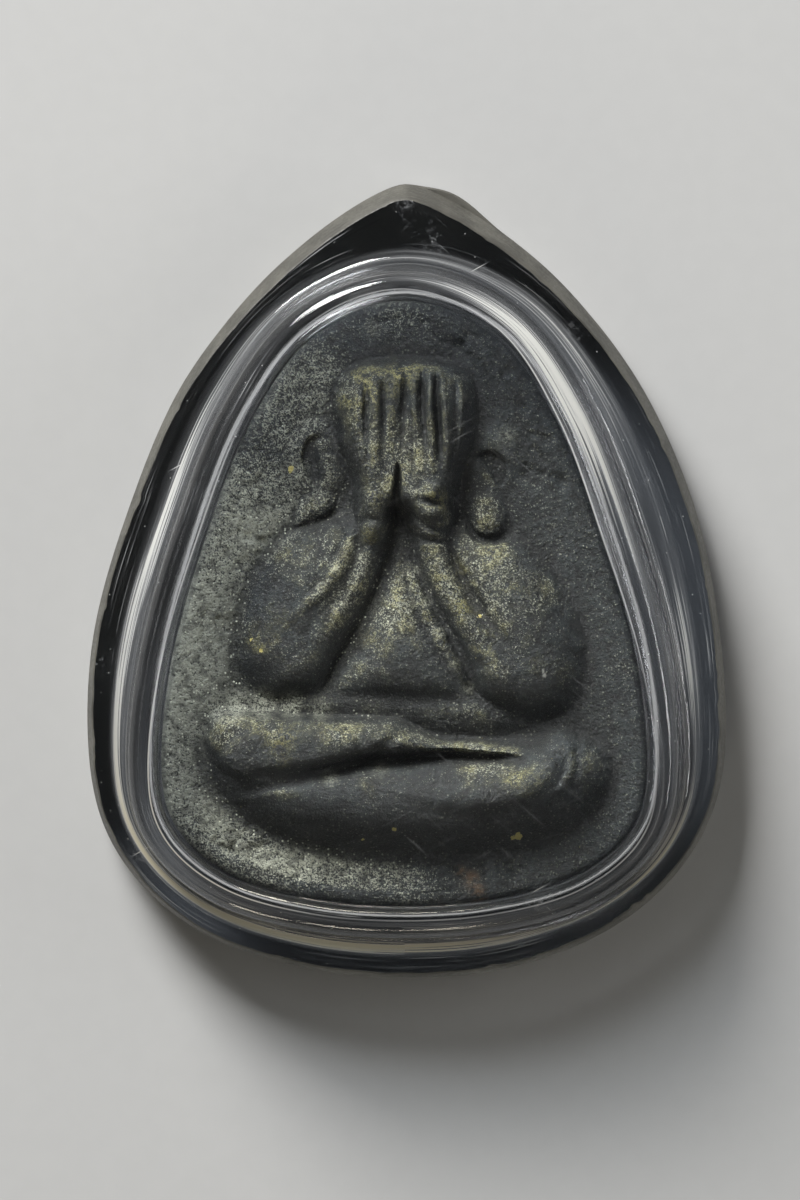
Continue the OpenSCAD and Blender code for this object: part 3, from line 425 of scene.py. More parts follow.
def cubics(a, b, c, d, steps):
    """Points from each b up to its c, on the cubic that passes them with slopes (c - a) / 2 and
    (d - b) / 2."""
    t = (np.arange(steps) / steps)[None, :, None]
    a, b, c, d = (rows[:, None, :] for rows in (a, b, c, d))
    square, cube = 2 * a - 5 * b + 4 * c - d, 3 * b - a - 3 * c + d
    curve = (2 * b + (c - a) * t + square * t ** 2 + cube * t ** 3) / 2
    return curve.reshape(-1, curve.shape[-1])


def closed_curve(knots, steps):
    """Smooth closed curve of such cubics through the knots."""
    return cubics(*(np.roll(knots, shift, axis=0) for shift in (1, 0, -1, -2)), steps)


def open_curve(rows, steps):
    """The same through the rows of a table, from the first row to the last, with the ends run on."""
    ends = np.vstack([2 * rows[:1] - rows[1:2], rows, 2 * rows[-1:] - rows[-2:-1]])
    return np.vstack([cubics(*(ends[k:len(rows) - 1 + k] for k in range(4)), steps), rows[-1:]])


def outward(curve):
    """Unit vectors square to an anticlockwise closed curve: the run from the point before to the point after,
    turned."""
    run = np.roll(curve, -1, axis=0) - np.roll(curve, 1, axis=0)
    run /= np.linalg.norm(run, axis=1)[:, None]
    return np.stack([run[:, 1], -run[:, 0]], axis=1)


def moved(curve, distance):
    """The curve moved outwards by a distance, or by one distance for each point."""
    return curve + outward(curve) * np.reshape(distance, (-1, 1))


def half_sizes():
    """Half width and half height of the amulet."""
    size = bpy.context.scene.amulet_sizes
    return np.array([size.width / 2, size.height / 2])


def amulet_outline(steps):
    """Closed outline of the amulet, anticlockwise from its lowest point."""
    right = np.array(RIGHT_HALF, float)
    knots = np.vstack([right, right[-2:0:-1] * (-1, 1)])
    return closed_curve(knots, steps) * half_sizes()


def widened(distance, rim=0.0, crest=0.0):
    """The amulet's outline moved outwards by a distance and by shares of the two widenings."""
    swell = closed_curve(np.array(WIDENING, float), CASE_STEPS) * bpy.context.scene.case_sizes.swell
    return moved(amulet_outline(CASE_STEPS), distance + rim * swell[:, 0] - crest * swell[:, 1])


def level(ring, height):
    """A flat ring at one height."""
    return np.column_stack([ring, np.full(len(ring), height)])


def raised(curve, rise):
    """The curve with its upper half moved up by one rise for each point."""
    return curve + np.stack([np.zeros(len(curve)), np.where(curve[:, 1] > 0, rise, 0)], axis=1)


def with_tip(curve):
    """The curve's upper half raised by a rounded peak: rise x (1 - away / width) ^ 1.5."""
    case = bpy.context.scene.case_sizes
    away = np.sqrt(curve[:, 0] ** 2 + case.tip_radius ** 2) - case.tip_radius
    return raised(curve, case.tip_rise * np.clip(1 - away / case.tip_width, 0, 1) ** 1.5)


def with_lobe(curve):
    """The curve's upper half raised beside the tip by half a cosine wave."""
    case = bpy.context.scene.case_sizes
    away = np.minimum(1, np.abs(curve[:, 0] - case.lobe_place) / case.lobe_width)
    return raised(curve, case.lobe * (1 + np.cos(math.pi * away)) / 2)


def quarter(start, end, steps, flip=False):
    """Quarter round between two corners of a section, without its start: the height follows one minus the
    cosine and the other numbers follow the sine, or the other way round."""
    a = np.arange(1, steps + 1) / steps * math.pi / 2
    bulge, drop = np.sin(a), 1 - np.cos(a)
    if flip:
        bulge, drop = drop, bulge
    part = np.stack([bulge, drop, bulge, bulge], axis=1)
    return [tuple(row) for row in np.array(start) + (np.array(end) - np.array(start)) * part]


# Noise

def smoothed(t):
    """t from 0 to 1 with level ends: 3t^2 - 2t^3."""
    return t * t * (3 - 2 * t)


def smooth_noise(x, y, cell, seed):
    """Random heights from -1 to 1 on a lattice of square cells, blended between its corners by 3t^2 - 2t^3.
    The lattice starts again when its cells run out."""
    repeat = 256
    table = np.random.default_rng(seed).uniform(-1, 1, (repeat, repeat))
    gx, gy = x / cell, y / cell
    ix, iy = np.floor(gx).astype(int), np.floor(gy).astype(int)
    tx, ty = smoothed(gx - ix), smoothed(gy - iy)
    left, right, under, over = ix % repeat, (ix + 1) % repeat, iy % repeat, (iy + 1) % repeat
    low = table[left, under] * (1 - tx) + table[right, under] * tx
    high = table[left, over] * (1 - tx) + table[right, over] * tx
    return low * (1 - ty) + high * ty


def rough_noise(x, y, name):
    """Mean of noises, each with half the cell and 0.55 of the weight of the one before, and turned by 37
    degrees."""
    cell, seed, layers = NOISES[name]
    total, weight, height = 0.0, 0.0, 1.0
    for k in range(layers):
        turn = math.radians(37 * k)
        across, up = x * math.cos(turn) - y * math.sin(turn), x * math.sin(turn) + y * math.cos(turn)
        total = total + height * smooth_noise(across, up, cell / 2 ** k, seed + k)
        weight += height
        height *= 0.55
    return total / weight


def softened(grid, reach):
    """The grid's mean over a square round each point, taken three times."""
    for axis in (0, 1, 0, 1, 0, 1):
        margins = [(reach + 1, reach) if k == axis else (0, 0) for k in (0, 1)]
        total = np.cumsum(np.pad(grid, margins, "edge"), axis=axis)
        first = np.arange(grid.shape[axis])
        grid = (np.take(total, first + 2 * reach + 1, axis) - np.take(total, first, axis)) / (2 * reach + 1)
    return grid


def spots(x, y, places, soft):
    """Highest of the round spots: full inside, fading to nothing over the outer share soft of the radius."""
    half = half_sizes()
    top = np.zeros_like(x)
    for across, up, radius, *strength in places:
        away = np.hypot(x - across * half[0], y - up * half[1])
        inside = np.clip((1 - away / (radius * half[0])) / soft, 0, 1)
        top = np.maximum(top, (strength[0] if strength else 1.0) * smoothed(inside))
    return top


# The figure

def within(x, y, low, high):
    """Which points are inside the upright box from low to high."""
    return (x > low[0]) & (x < high[0]) & (y > low[1]) & (y < high[1])


def pillow(x, y, form):
    """Height of one form: full height x (1 - (1 - t)^2)^1.4, where t is the soft distance from its outline
    over the edge width. The soft distance is the root of 2 over the integral, round the outline, of one over
    the cubed distance, which is known in closed form for each straight edge. The full height grows up the
    amulet. The smallest numbers only keep a division from zero."""
    height, growth, edge, knots = form
    half = half_sizes()
    curve = closed_curve(np.array(knots, float), FORM_STEPS) * half
    low, high = curve.min(axis=0), curve.max(axis=0)
    near = within(x, y, low, high)
    px, py = x[near], y[near]
    pull = np.zeros_like(px)
    inside = np.zeros(px.shape, bool)
    for start, end in zip(curve, np.roll(curve, -1, axis=0)):
        reach = np.linalg.norm(end - start)
        run = (end - start) / reach
        first = (start[0] - px) * run[0] + (start[1] - py) * run[1]
        last = first + reach
        off = np.maximum(np.abs((start[0] - px) * run[1] - (start[1] - py) * run[0]), 1e-6)
        pull += (last / np.hypot(last, off) - first / np.hypot(first, off)) / off ** 2
        slope = (end[0] - start[0]) / (end[1] - start[1] + 1e-12)
        inside ^= ((start[1] > py) != (end[1] > py)) & (px < start[0] + (py - start[1]) * slope)
    t = np.minimum(1, np.sqrt(2 / np.maximum(pull, 1e-9)) / (edge * half[0]))
    lean = 1 + growth * (py - (low[1] + high[1]) / 2) / half[1]
    full = bpy.context.scene.amulet_sizes.relief * height * lean
    out = np.zeros_like(x)
    out[near] = np.where(inside, full * (1 - (1 - t) ** 2) ** 1.4, 0)
    return out


def joined(a, b):
    """The higher of two heights, raised by near^2 / (4 blend) where they differ by less than the blend."""
    blend = bpy.context.scene.amulet_sizes.blend
    near = np.clip(blend - np.abs(a - b), 0, None)
    return np.maximum(a, b) + near ** 2 / (4 * blend) * np.clip(np.minimum(a, b) / blend, 0, 1)


def line_height(x, y, table):
    """Height of one ridge or groove: the height at the nearest place of its path x (1 - q^2)^1.5, where q is
    the distance from the path over the radius there."""
    half = half_sizes()
    scales = (*half, half[0], bpy.context.scene.amulet_sizes.relief)
    path = open_curve(np.array(table, float), LINE_STEPS) * scales
    reach = path[:, 2].max()
    near = within(x, y, path[:, :2].min(axis=0) - reach, path[:, :2].max(axis=0) + reach)
    px, py = x[near], y[near]
    closest, height = np.full(px.shape, np.inf), np.zeros(px.shape)
    for a, b in zip(path[:-1], path[1:]):
        run = b[:2] - a[:2]
        t = np.clip(((px - a[0]) * run[0] + (py - a[1]) * run[1]) / (run @ run), 0, 1)
        q = np.hypot(px - a[0] - run[0] * t, py - a[1] - run[1] * t) / (a[2] + (b[2] - a[2]) * t)
        height = np.where(q < closest, a[3] + (b[3] - a[3]) * t, height)
        closest = np.minimum(closest, q)
    out = np.zeros_like(x)
    out[near] = height * np.clip(1 - closest ** 2, 0, 1) ** 1.5
    return out


def relief(x, y):
    """Height of the figure over the plaque: all forms joined, plus all lines, never below the plaque."""
    z = np.zeros_like(x)
    for form in FORMS.values():
        z = joined(z, pillow(x, y, form))
    for group in LINES.values():
        for table in group:
            z = z + line_height(x, y, table)
    return np.maximum(z, 0)


# Meshes and materials

def add_piece(name, points, polygons, materials, kinds=None, corner_uv=None, marks=None, sharp=40.0):
    """Makes one mesh object at the origin. polygons is a list of arrays with one row of corners for each
    face, kinds the material number of each face, corner_uv one (u, v) for each corner, and marks the named
    numbers for each point. Edges that turn by more than the angle sharp stay sharp."""
    mesh = bpy.data.meshes.new(name)
    sizes = np.concatenate([np.full(len(p), p.shape[1]) for p in polygons])
    corners = np.concatenate([p.ravel() for p in polygons]).astype(np.int32)
    mesh.vertices.add(len(points))
    mesh.vertices.foreach_set("co", np.asarray(points, np.float32).ravel())
    mesh.loops.add(len(corners))
    mesh.loops.foreach_set("vertex_index", corners)
    mesh.polygons.add(len(sizes))
    mesh.polygons.foreach_set("loop_start", np.concatenate([[0], np.cumsum(sizes)[:-1]]).astype(np.int32))
    if kinds is not None:
        mesh.polygons.foreach_set("material_index", np.asarray(kinds, np.int32))
    if corner_uv is not None:
        layer = mesh.uv_layers.new(name="along_outline")
        layer.data.foreach_set("uv", np.asarray(corner_uv, np.float32).ravel())
    for key, values in (marks or {}).items():
        mesh.attributes.new(key, "FLOAT", "POINT").data.foreach_set("value", values.astype(np.float32))
    mesh.update(calc_edges=True)
    mesh.validate()
    mesh.shade_smooth()
    mesh.set_sharp_from_angle(angle=math.radians(sharp))
    for material in materials:
        mesh.materials.append(material)
    piece = bpy.data.objects.new(name, mesh)
    bpy.context.scene.collection.objects.link(piece)
    return piece


def carried_skin(rings):
    """Closed skin over rings of equal count, each an (n, 3) array from the first flat cap to the last: quads
    between neighbours, one flat face on each end. Returns points, polygons and the (u, v) of each corner, in
    metres: u is the length along the ring a third of the way down, and v the mean length down the section.
    On the two end faces they are x and y."""
    rings = np.array(rings)
    count, n = rings.shape[:2]
    r, i = np.meshgrid(np.arange(count - 1), np.arange(n), indexing="ij")
    a, b = r * n + i, r * n + (i + 1) % n
    quads = np.stack([a, a + n, b + n, b], axis=-1).reshape(-1, 4)
    caps = [np.arange(n)[None, :], (np.arange(n)[::-1] + (count - 1) * n)[None, :]]
    middle = rings[count // 3]
    steps = np.linalg.norm(np.roll(middle, -1, axis=0) - middle, axis=1)
    u = np.concatenate([[0], np.cumsum(steps)])
    v = np.concatenate([[0], np.cumsum(np.linalg.norm(np.diff(rings, axis=0), axis=2).mean(axis=1))])
    uv = np.stack([np.stack([u[i], v[r]], -1), np.stack([u[i], v[r + 1]], -1),
                   np.stack([u[i + 1], v[r + 1]], -1), np.stack([u[i + 1], v[r]], -1)], axis=2).reshape(-1, 2)
    flat = np.vstack([rings[0][:, :2], rings[-1][::-1, :2]])
    return rings.reshape(-1, 3), [quads] + caps, np.vstack([uv, flat])


class Nodes:
    """Short way to build a node tree."""

    def __init__(self, name):
        self.material = bpy.data.materials.new(name)
        self.material.use_nodes = True
        self.tree = self.material.node_tree
        self.tree.nodes.clear()

    def add(self, kind, settings=None, **inputs):
        """Adds a node, sets its properties, and fills its inputs by name with a value or another's output."""
        node = self.tree.nodes.new(kind)
        for key, value in (settings or {}).items():
            setattr(node, key, value)
        for key, value in inputs.items():
            socket = node.inputs[int(key[1:])] if key[0] == "_" else node.inputs[key.replace("_", " ")]
            if isinstance(value, bpy.types.NodeSocket):
                self.tree.links.new(value, socket)
            else:
                socket.default_value = value
        return node

    def maths(self, operation, a, b=0.0, clamp=False):
        """One step of arithmetic on numbers or outputs."""
        return self.add("ShaderNodeMath", {"operation": operation, "use_clamp": clamp}, _0=a, _1=b).outputs[0]

    def times(self, a, b):
        """a x b."""
        return self.maths("MULTIPLY", a, b)

    def plus(self, a, b):
        """a + b."""
        return self.maths("ADD", a, b)

    def higher(self, a, b, clamp=False):
        """The higher of the two, and never over 1 where clamp is true."""
        return self.maths("MAXIMUM", a, b, clamp)

    def blend(self, a, b, part):
        """a x part + b x (1 - part)."""
        return self.plus(self.times(a, part), self.times(b, 1 - part))

    def off(self, value, middle):
        """Distance of the value from a middle one."""
        return self.maths("ABSOLUTE", self.maths("SUBTRACT", value, middle))

    def ramp(self, value, low, high, out_low=0.0, out_high=1.0):
        """Value carried from low..high to out_low..out_high, smoothly and clamped."""
        return self.add("ShaderNodeMapRange", {"interpolation_type": "SMOOTHSTEP"},
                        _0=value, _1=low, _2=high, _3=out_low, _4=out_high).outputs[0]

    def mix(self, factor, a, b):
        """Colour a turned into colour b by a factor."""
        node = self.add("ShaderNodeMix", {"data_type": "RGBA"}, _0=factor)
        for socket, value in ((node.inputs[6], a), (node.inputs[7], b)):
            if isinstance(value, bpy.types.NodeSocket):
                self.tree.links.new(value, socket)
            else:
                socket.default_value = (*value, 1)
        return node.outputs[2]

    def mark(self, name):
        """A named number of the piece's points, nothing where the piece has none of that name."""
        return self.add("ShaderNodeAttribute", {"attribute_name": name}).outputs["Fac"]

    def noise(self, place, scale, detail=2.0, roughness=0.5):
        """Noise round 0.5, with so many cells to the metre."""
        node = self.add("ShaderNodeTexNoise", Vector=place, Scale=scale, Detail=detail, Roughness=roughness)
        return node.outputs[0]

    def drawn(self, place, scales, detail, roughness=0.5):
        """The same noise with its own scale along each axis."""
        place = self.add("ShaderNodeMapping", Vector=place, Scale=scales).outputs[0]
        return self.noise(place, 1.0, detail, roughness)

    def dots(self, place, scale, edge, full, few, many):
        """A round dot in some cells of a pattern, from 0 at the edge distance to 1 at the full one. A cell
        has one where its random number is over few, at full strength where it is over many."""
        cells = self.add("ShaderNodeTexVoronoi", Vector=place, Scale=scale).outputs
        pick = self.add("ShaderNodeSeparateColor", Color=cells["Color"]).outputs[0]
        return self.times(self.ramp(cells["Distance"], edge, full), self.ramp(pick, few, many))

    def bump(self, height, distance, normal=None, strength=1.0):
        """Surface direction tilted by a height, over another tilt where one is given."""
        node = self.add("ShaderNodeBump", Height=height, Distance=distance, Strength=strength)
        if normal is not None:
            self.tree.links.new(normal, node.inputs["Normal"])
        return node.outputs[0]

    def finish(self, shader):
        """Puts the shader on the surface and returns the material."""
        self.add("ShaderNodeOutputMaterial", Surface=shader)
        return self.material


def shade(tone, factor):
    """A colour made darker or lighter by a factor."""
    return [min(1.0, c * factor) for c in tone]


def powder_material():
    """Pressed dark powder, in layers: its tone by two noises; pale grains, closer together where dusty and
    where light is painted on the plaque's left side; yellow threads and patches where worn; painted shade,
    black in the hollows, round the figure and on slopes facing the bottom; pale dusty heaps and painted
    highlights on lit ridges; sparkling grains; dark pits; a brown stain; white and gold flecks. Three of the
    noises also tilt the surface."""
    look = bpy.context.scene.finishes
    n = Nodes("pressed powder")
    place = n.add("ShaderNodeTexCoord").outputs["Object"]
    broad = n.noise(place, 420, 4, 0.6)
    middle = n.noise(place, 1700, 4, 0.7)
    cluster = n.noise(place, 4600, 3, 0.7)
    fine = n.noise(place, 12000, 2, 0.7)
    level = n.blend(fine, cluster, 0.7)
    # Dust, with painted light on the left of the plaque, sets how close the pale grains and sparkles stand
    dust_and_light = n.mark("dust_and_light")
    powder = n.mix(n.ramp(broad, 0.32, 0.68), shade(look.powder, 0.5), shade(look.powder, 1.15))
    powder = n.mix(n.ramp(middle, 0.38, 0.52, 0.85, 0.0), powder, shade(look.powder, 0.2))
    grain = n.ramp(n.plus(level, n.times(dust_and_light, 0.23)), 0.59, 0.66)
    powder = n.mix(n.times(grain, n.ramp(middle, 0.36, 0.56, 0.35, 1.0)), powder, look.pale_grain)
    threads = n.ramp(n.off(n.noise(place, 1300, 5, 0.8), 0.5), 0.035, 0.0)
    patches = n.times(n.ramp(middle, 0.47, 0.55), n.ramp(level, 0.46, 0.54))
    wear = n.times(n.mark("wear"), n.ramp(n.noise(place, 800, 3, 0.6), 0.42, 0.58, 0.2, 1.0))
    powder = n.mix(n.times(wear, n.higher(threads, patches)), powder, look.yellow_wear)
    # Painted shade: the powder near black in the hollows, round the figure and on slopes that face the bottom
    powder = n.mix(n.times(n.mark("painted_shade"), 0.85), powder, shade(look.powder, 0.15))
    # Pale dust heaps, and painted highlights on lit ridges
    dust_heap_and_highlight = n.times(n.mark("dust_heap_and_highlight"), n.ramp(level, 0.42, 0.54))
    powder = n.mix(dust_heap_and_highlight, powder, shade(look.pale_grain, 1.2))
    sparkle = n.times(n.dots(place, 7000, 0.45, 0.20, 0.80, 0.90), n.ramp(dust_and_light, 0.0, 0.8, 0.15, 1.0))
    powder = n.mix(sparkle, powder, shade(look.pale_grain, 1.7))
    powder = n.mix(n.ramp(cluster, 0.44, 0.34, 0.0, 0.8), powder, shade(look.powder, 0.2))
    powder = n.mix(n.times(n.mark("brown"), n.ramp(middle, 0.40, 0.55)), powder, look.brown)
    powder = n.mix(n.mark("white"), powder, look.white)
    ragged = n.times(n.maths("SUBTRACT", n.noise(place, 3600, 3, 0.7), 0.5), 2.0)
    powder = n.mix(n.ramp(n.plus(n.mark("gold"), ragged), 0.50, 0.62), powder, look.gold)
    normal = n.bump(fine, 0.00006, n.bump(cluster, 0.00014, n.bump(middle, 0.00014)))
    shader = n.add("ShaderNodeBsdfPrincipled", Base_Color=powder, Normal=normal,
                   Roughness=n.ramp(fine, 0.35, 0.65, 0.45, 0.75))
    return n.finish(shader.outputs[0])


def hair_lines(n, place, turn, fine, long, low, high):
    """Sparse thin lines in one direction: a noise drawn out along that direction, cut off above a level."""
    turned = n.add("ShaderNodeMapping", Vector=place, Rotation=(0, 0, turn)).outputs[0]
    return n.ramp(n.drawn(turned, (long, fine, long), 1), low, high)


def acrylic_material(name, tint, along):
    """Clear acrylic with fine crossing scratches, pale above and beige low down, which lets lamps through.
    Where along is true it also has marks that follow the outline by the piece's own UV: thin scratches,
    brushed streaks where the polish is hazy, which are also painted highlights, a broken painted highlight
    line at the window's edge, specks, and a ripple."""
    look = bpy.context.scene.finishes
    n = Nodes(name)
    coordinates = n.add("ShaderNodeTexCoord").outputs
    place = coordinates["Object"]
    patch = n.ramp(n.noise(place, 190, 3, 0.6), 0.42, 0.66)
    crossing = n.higher(hair_lines(n, place, 0.7, 9000, 260, 0.70, 0.76),
                        hair_lines(n, place, -0.5, 8000, 240, 0.71, 0.77))
    worn = n.ramp(n.noise(place, 4200, 4, 0.75), 0.50, 0.68)
    scuff = n.times(n.mark("scuff"), n.higher(crossing, n.times(worn, 0.3)))
    white = n.higher(n.times(crossing, n.times(patch, 0.05)), scuff, True)
    if along:
        follow = coordinates["UV"]
        threads = hair_lines(n, follow, 0.0, 15000, 110, 0.63, 0.70)
        white = n.higher(white, n.times(threads, n.times(patch, 0.45)))
        brushed = n.drawn(follow, (110, 15000, 1), 3, 0.6)
        broad = n.drawn(follow, (40, 1900, 1), 2)
        # Painted highlights: white streaks on the crest and fillet where lamps would reflect, with real
        # polishing haze
        haze_and_highlight = n.mark("haze_and_highlight")
        streaks = n.ramp(n.plus(n.blend(brushed, broad, 0.6), n.times(haze_and_highlight, 0.14)), 0.57, 0.68)
        streaks = n.times(streaks, n.ramp(haze_and_highlight, 0.0, 1.2, 0.05, 0.85))
        streaks = n.plus(streaks, n.times(haze_and_highlight, n.ramp(broad, 0.36, 0.60, 0.08, 0.28)))
        white = n.higher(white, streaks, True)
        # Painted highlight: a broken bright line where the window meets the crest
        down = n.add("ShaderNodeSeparateXYZ", Vector=follow).outputs[1]
        border = n.ramp(n.off(down, FLAT_STRIP + 0.00002), 0.00006, 0.00002)
        white = n.higher(white, n.times(border, n.ramp(broad, 0.38, 0.60, 0.15, 0.75)))
        white = n.higher(white, n.times(n.dots(place, 2300, 0.10, 0.05, 0.72, 0.80), 0.6))
        ripple = n.drawn(follow, (60, 1500, 1), 3, 0.6)
        normal = n.bump(brushed, 0.000004, n.bump(ripple, 0.00002))
    else:
        normal = n.bump(n.noise(place, 120), 0.000010)
    height = n.add("ShaderNodeSeparateXYZ", Vector=place).outputs[1]
    scratch = n.mix(n.ramp(height, -0.002, -0.014), look.scratch, look.low_scratch)
    shader = n.add("ShaderNodeBsdfPrincipled", Base_Color=n.mix(white, tint, scratch), IOR=ACRYLIC_IOR,
                   Roughness=n.ramp(white, 0.0, 1.0, 0.015, 0.45), Normal=normal,
                   Transmission_Weight=n.maths("SUBTRACT", 1.0, white))
    clear = n.add("ShaderNodeBsdfTransparent", Color=(*tint, 1))
    ray = n.add("ShaderNodeLightPath").outputs
    for way in ("Is Diffuse Ray", "Is Shadow Ray"):
        shader = n.add("ShaderNodeMixShader", _0=ray[way], _1=shader.outputs[0], _2=clear.outputs[0])
    return n.finish(shader.outputs[0])


def ground_material():
    """Frosted ground edge: a grainy grey surface that lets some light through, with streaks along the
    outline."""
    look = bpy.context.scene.finishes
    n = Nodes("ground edge")
    place = n.add("ShaderNodeTexCoord").outputs
    streaks = n.drawn(place["UV"], (700, 9000, 1), 3)
    grain = n.noise(place["Object"], 6500, 3, 0.7)
    patch = n.noise(place["Object"], 420, 3, 0.6)
    tone = n.mix(n.ramp(streaks, 0.35, 0.65), shade(look.ground, 0.62), look.ground)
    tone = n.mix(n.ramp(patch, 0.40, 0.62, 0.0, 0.6), tone, shade(look.ground, 1.5))
    normal = n.bump(grain, 0.00003, n.bump(streaks, 0.00003, None, 0.6), 0.8)
    shader = n.add("ShaderNodeBsdfPrincipled", Base_Color=tone, Normal=normal, Transmission_Weight=0.25,
                   Roughness=n.ramp(grain, 0.3, 0.7, 0.4, 0.7), IOR=ACRYLIC_IOR)
    return n.finish(shader.outputs[0])


def floor_material():
    """Plain pale matte floor with a faint fine tooth."""
    n = Nodes("studio floor")
    place = n.add("ShaderNodeTexCoord").outputs["Object"]
    tone = bpy.context.scene.stage_settings.floor
    speckle = n.mix(n.ramp(n.noise(place, 900), 0.3, 0.7), shade(tone, 0.985), tone)
    shader = n.add("ShaderNodeBsdfPrincipled", Base_Color=speckle, Roughness=0.9)
    return n.finish(shader.outputs[0])


# Operators

class AMULET_OT_cast_amulet(bpy.types.Operator):
    """Makes the cast amulet with its grain, wear and flecks in place of its plain solid"""
    bl_idname = "amulet.cast_amulet"
    bl_label = "Cast amulet"

    def execute(self, context):
        size = context.scene.amulet_sizes
        low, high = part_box("amulet")
        field = low[2] + size.plaque
        x, y, inset, ends = self.grid(size)
        z, marks = self.surface(size, x, y, inset)
        face = np.stack([x, y, field + z], axis=-1).reshape(-1, 3)
        poles = np.array([[0, end, field] for end in ends])
        # Numbers of the face's points, its border anticlockwise from the lowest, and the side's first point
        inner = len(face)
        grid = np.arange(inner).reshape(x.shape)
        loop = np.concatenate([[inner], grid[:, -1], [inner + 1], grid[::-1, 0]])
        first, around = inner + 2, len(loop)
        rings = self.side(size, np.vstack([face, poles])[loop, :2], field, low[2])
        a, b = grid[:-1, :-1], grid[1:, :-1]
        quads = np.stack([a, a + 1, b + 1, b], axis=-1).reshape(-1, 4)
        pole = np.full(FACE_COLUMNS, inner)
        fans = np.vstack([np.stack([pole, grid[0, 1:], grid[0, :-1]], axis=-1),
                          np.stack([pole + 1, grid[-1, :-1], grid[-1, 1:]], axis=-1)])
        i = np.arange(around)
        j = (i + 1) % around
        collar = np.stack([loop[i], first + i, first + j, loop[j]], axis=-1)
        starts = first + around * np.arange(len(rings))
        bands = [np.stack([k + i, k + around + i, k + around + j, k + j], axis=-1) for k in starts[:-1]]
        bottom = (starts[-1] + i[::-1])[None, :]
        points = np.vstack([face, poles] + rings)
        points[:, 1] += (low[1] + high[1]) / 2
        # The poles and the side take the marks of the border's points
        for key, value in marks.items():
            value = np.concatenate([value.ravel(), value[[0, -1], FACE_COLUMNS // 2]])
            marks[key] = np.concatenate([value, np.tile(value[loop], len(rings))])
        piece = add_piece("cast_amulet", points, [quads, fans, collar] + bands + [bottom],
                          [powder_material()], marks=marks, sharp=60)
        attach(piece, "root")
        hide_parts("amulet")
        return {"FINISHED"}

    def grid(self, size):
        """Places of the face's points, their distance from the border, and the two ends of the face. A row's
        height is 0.8 t + 0.2 sin(t pi / 2) of the half height, with t from -1 to 1, so rows are closer at the
        ends. Along a row the points are evenly spaced between the two sides of the border."""
        border = moved(amulet_outline(FACE_STEPS), -size.front_round)
        right = border[:len(border) // 2 + 1]
        bottom, top = right[0, 1], right[-1, 1]
        t = 2 * np.arange(FACE_ROWS + 1) / FACE_ROWS - 1
        row_y = (top + bottom + (top - bottom) * (0.8 * t + 0.2 * np.sin(math.pi / 2 * t))) / 2
        row_half = np.interp(row_y, right[:, 1], right[:, 0])[1:-1, None]
        x = row_half * (2 * np.arange(FACE_COLUMNS + 1) / FACE_COLUMNS - 1)[None, :]
        y = np.repeat(row_y[1:-1, None], FACE_COLUMNS + 1, axis=1)
        return x, y, row_half - np.abs(x), row_y[[0, -1]]

    def side(self, size, edge, field, base):
        """Rings of the side, outside the face's border: a quarter round, a straight wall and a broken corner,
        each ring drawn in a little by a noise."""
        turn = np.arange(1, EDGE_RINGS + 1) / EDGE_RINGS * math.pi / 2
        wall = size.plaque - size.front_round - size.back_round
        steps = [(size.front_round * math.sin(a), field - size.front_round * (1 - math.cos(a))) for a in turn]
        steps += [(size.front_round, field - size.front_round - s * wall) for s in (0.25, 0.5, 0.75, 1)]
        steps += [(size.front_round - size.back_round * 0.3, base + size.back_round * 0.3),
                  (size.front_round - size.back_round, base)]
        rings = []
        for out, height in steps:
            ring = moved(edge, out)
            waves = rough_noise(ring[:, 0] * 3 + ring[:, 1], np.full(len(ring), height * 3), "side")
            rings.append(level(moved(edge, out - np.abs(SIDE_WAVES * waves)), height))
        return rings

    def surface(self, size, x, y, inset):
        """Height of the face over the plaque and its marks. The figure is taken a little out of place and
        gets low lumps, as in a worn cast. A fine grain lies all over and pits in the rough ground, and both
        fade out towards the border."""
        strayed = (x + size.stray * rough_noise(x, y, "stray across"),
                   y + size.stray * rough_noise(x, y, "stray up"))
        figure = relief(*strayed)
        on = np.clip(figure / ON_FIGURE, 0, 1)
        figure = figure + size.lumps * on * rough_noise(x, y, "lumps")
        rough = np.clip(rough_noise(x, y, "rough ground") * 2.0 - 0.15, 0, 1)
        rough = np.maximum(rough, spots(x, y, ROUGH_GROUND, 0.8))
        grain = size.grain * rough_noise(x, y, "grain") * (0.3 + 0.7 * rough)
        pits = -size.pits * rough * np.clip(rough_noise(x, y, "pits") * 2.4 + 0.2, -0.2, 1)
        fade = np.clip(inset / PLAIN_BORDER, 0, 1)
        z = figure + fade * (grain + pits * (1 - 0.75 * on))
        return z, self.marks(x, y, inset, figure, on)

    def marks(self, x, y, inset, figure, on):
        """Marks from 0 to 1 for the powder's layers. Hollows and crests are told by the difference from the
        mean height close by and round about.
        Painted shade darkens the hollows, the plaque round the figure and the slopes that face the bottom,
        away from the key lamp.
        Dust lies on the plaque and is rubbed off near the lower border; that mark also carries painted light,
        paler on the left of the plaque, more so low down, and darker on the right. Listed shaded spots and
        the down-facing slopes get more painted shade and lose their pale grains and wear."""
        u, v = x / half_sizes()[0], y / half_sizes()[1]
        near, wide = softened(figure, CLOSE_BY), softened(figure, ROUND_ABOUT)
        cloud = rough_noise(x, y, "clouds")
        # Painted shade: slopes that face the bottom, away from the key lamp, and the hollows and the plaque
        # round the figure come out darker
        shade_facing_down = np.clip(np.gradient(near, axis=0) / np.gradient(y, axis=0), 0, 1)
        painted_shade = np.clip((near - figure) / 0.00013, 0, 1) + np.clip((wide - figure) / 0.0005, 0, 1) + shade_facing_down
        crest = np.clip((figure - near) / 0.00007, 0, 1)
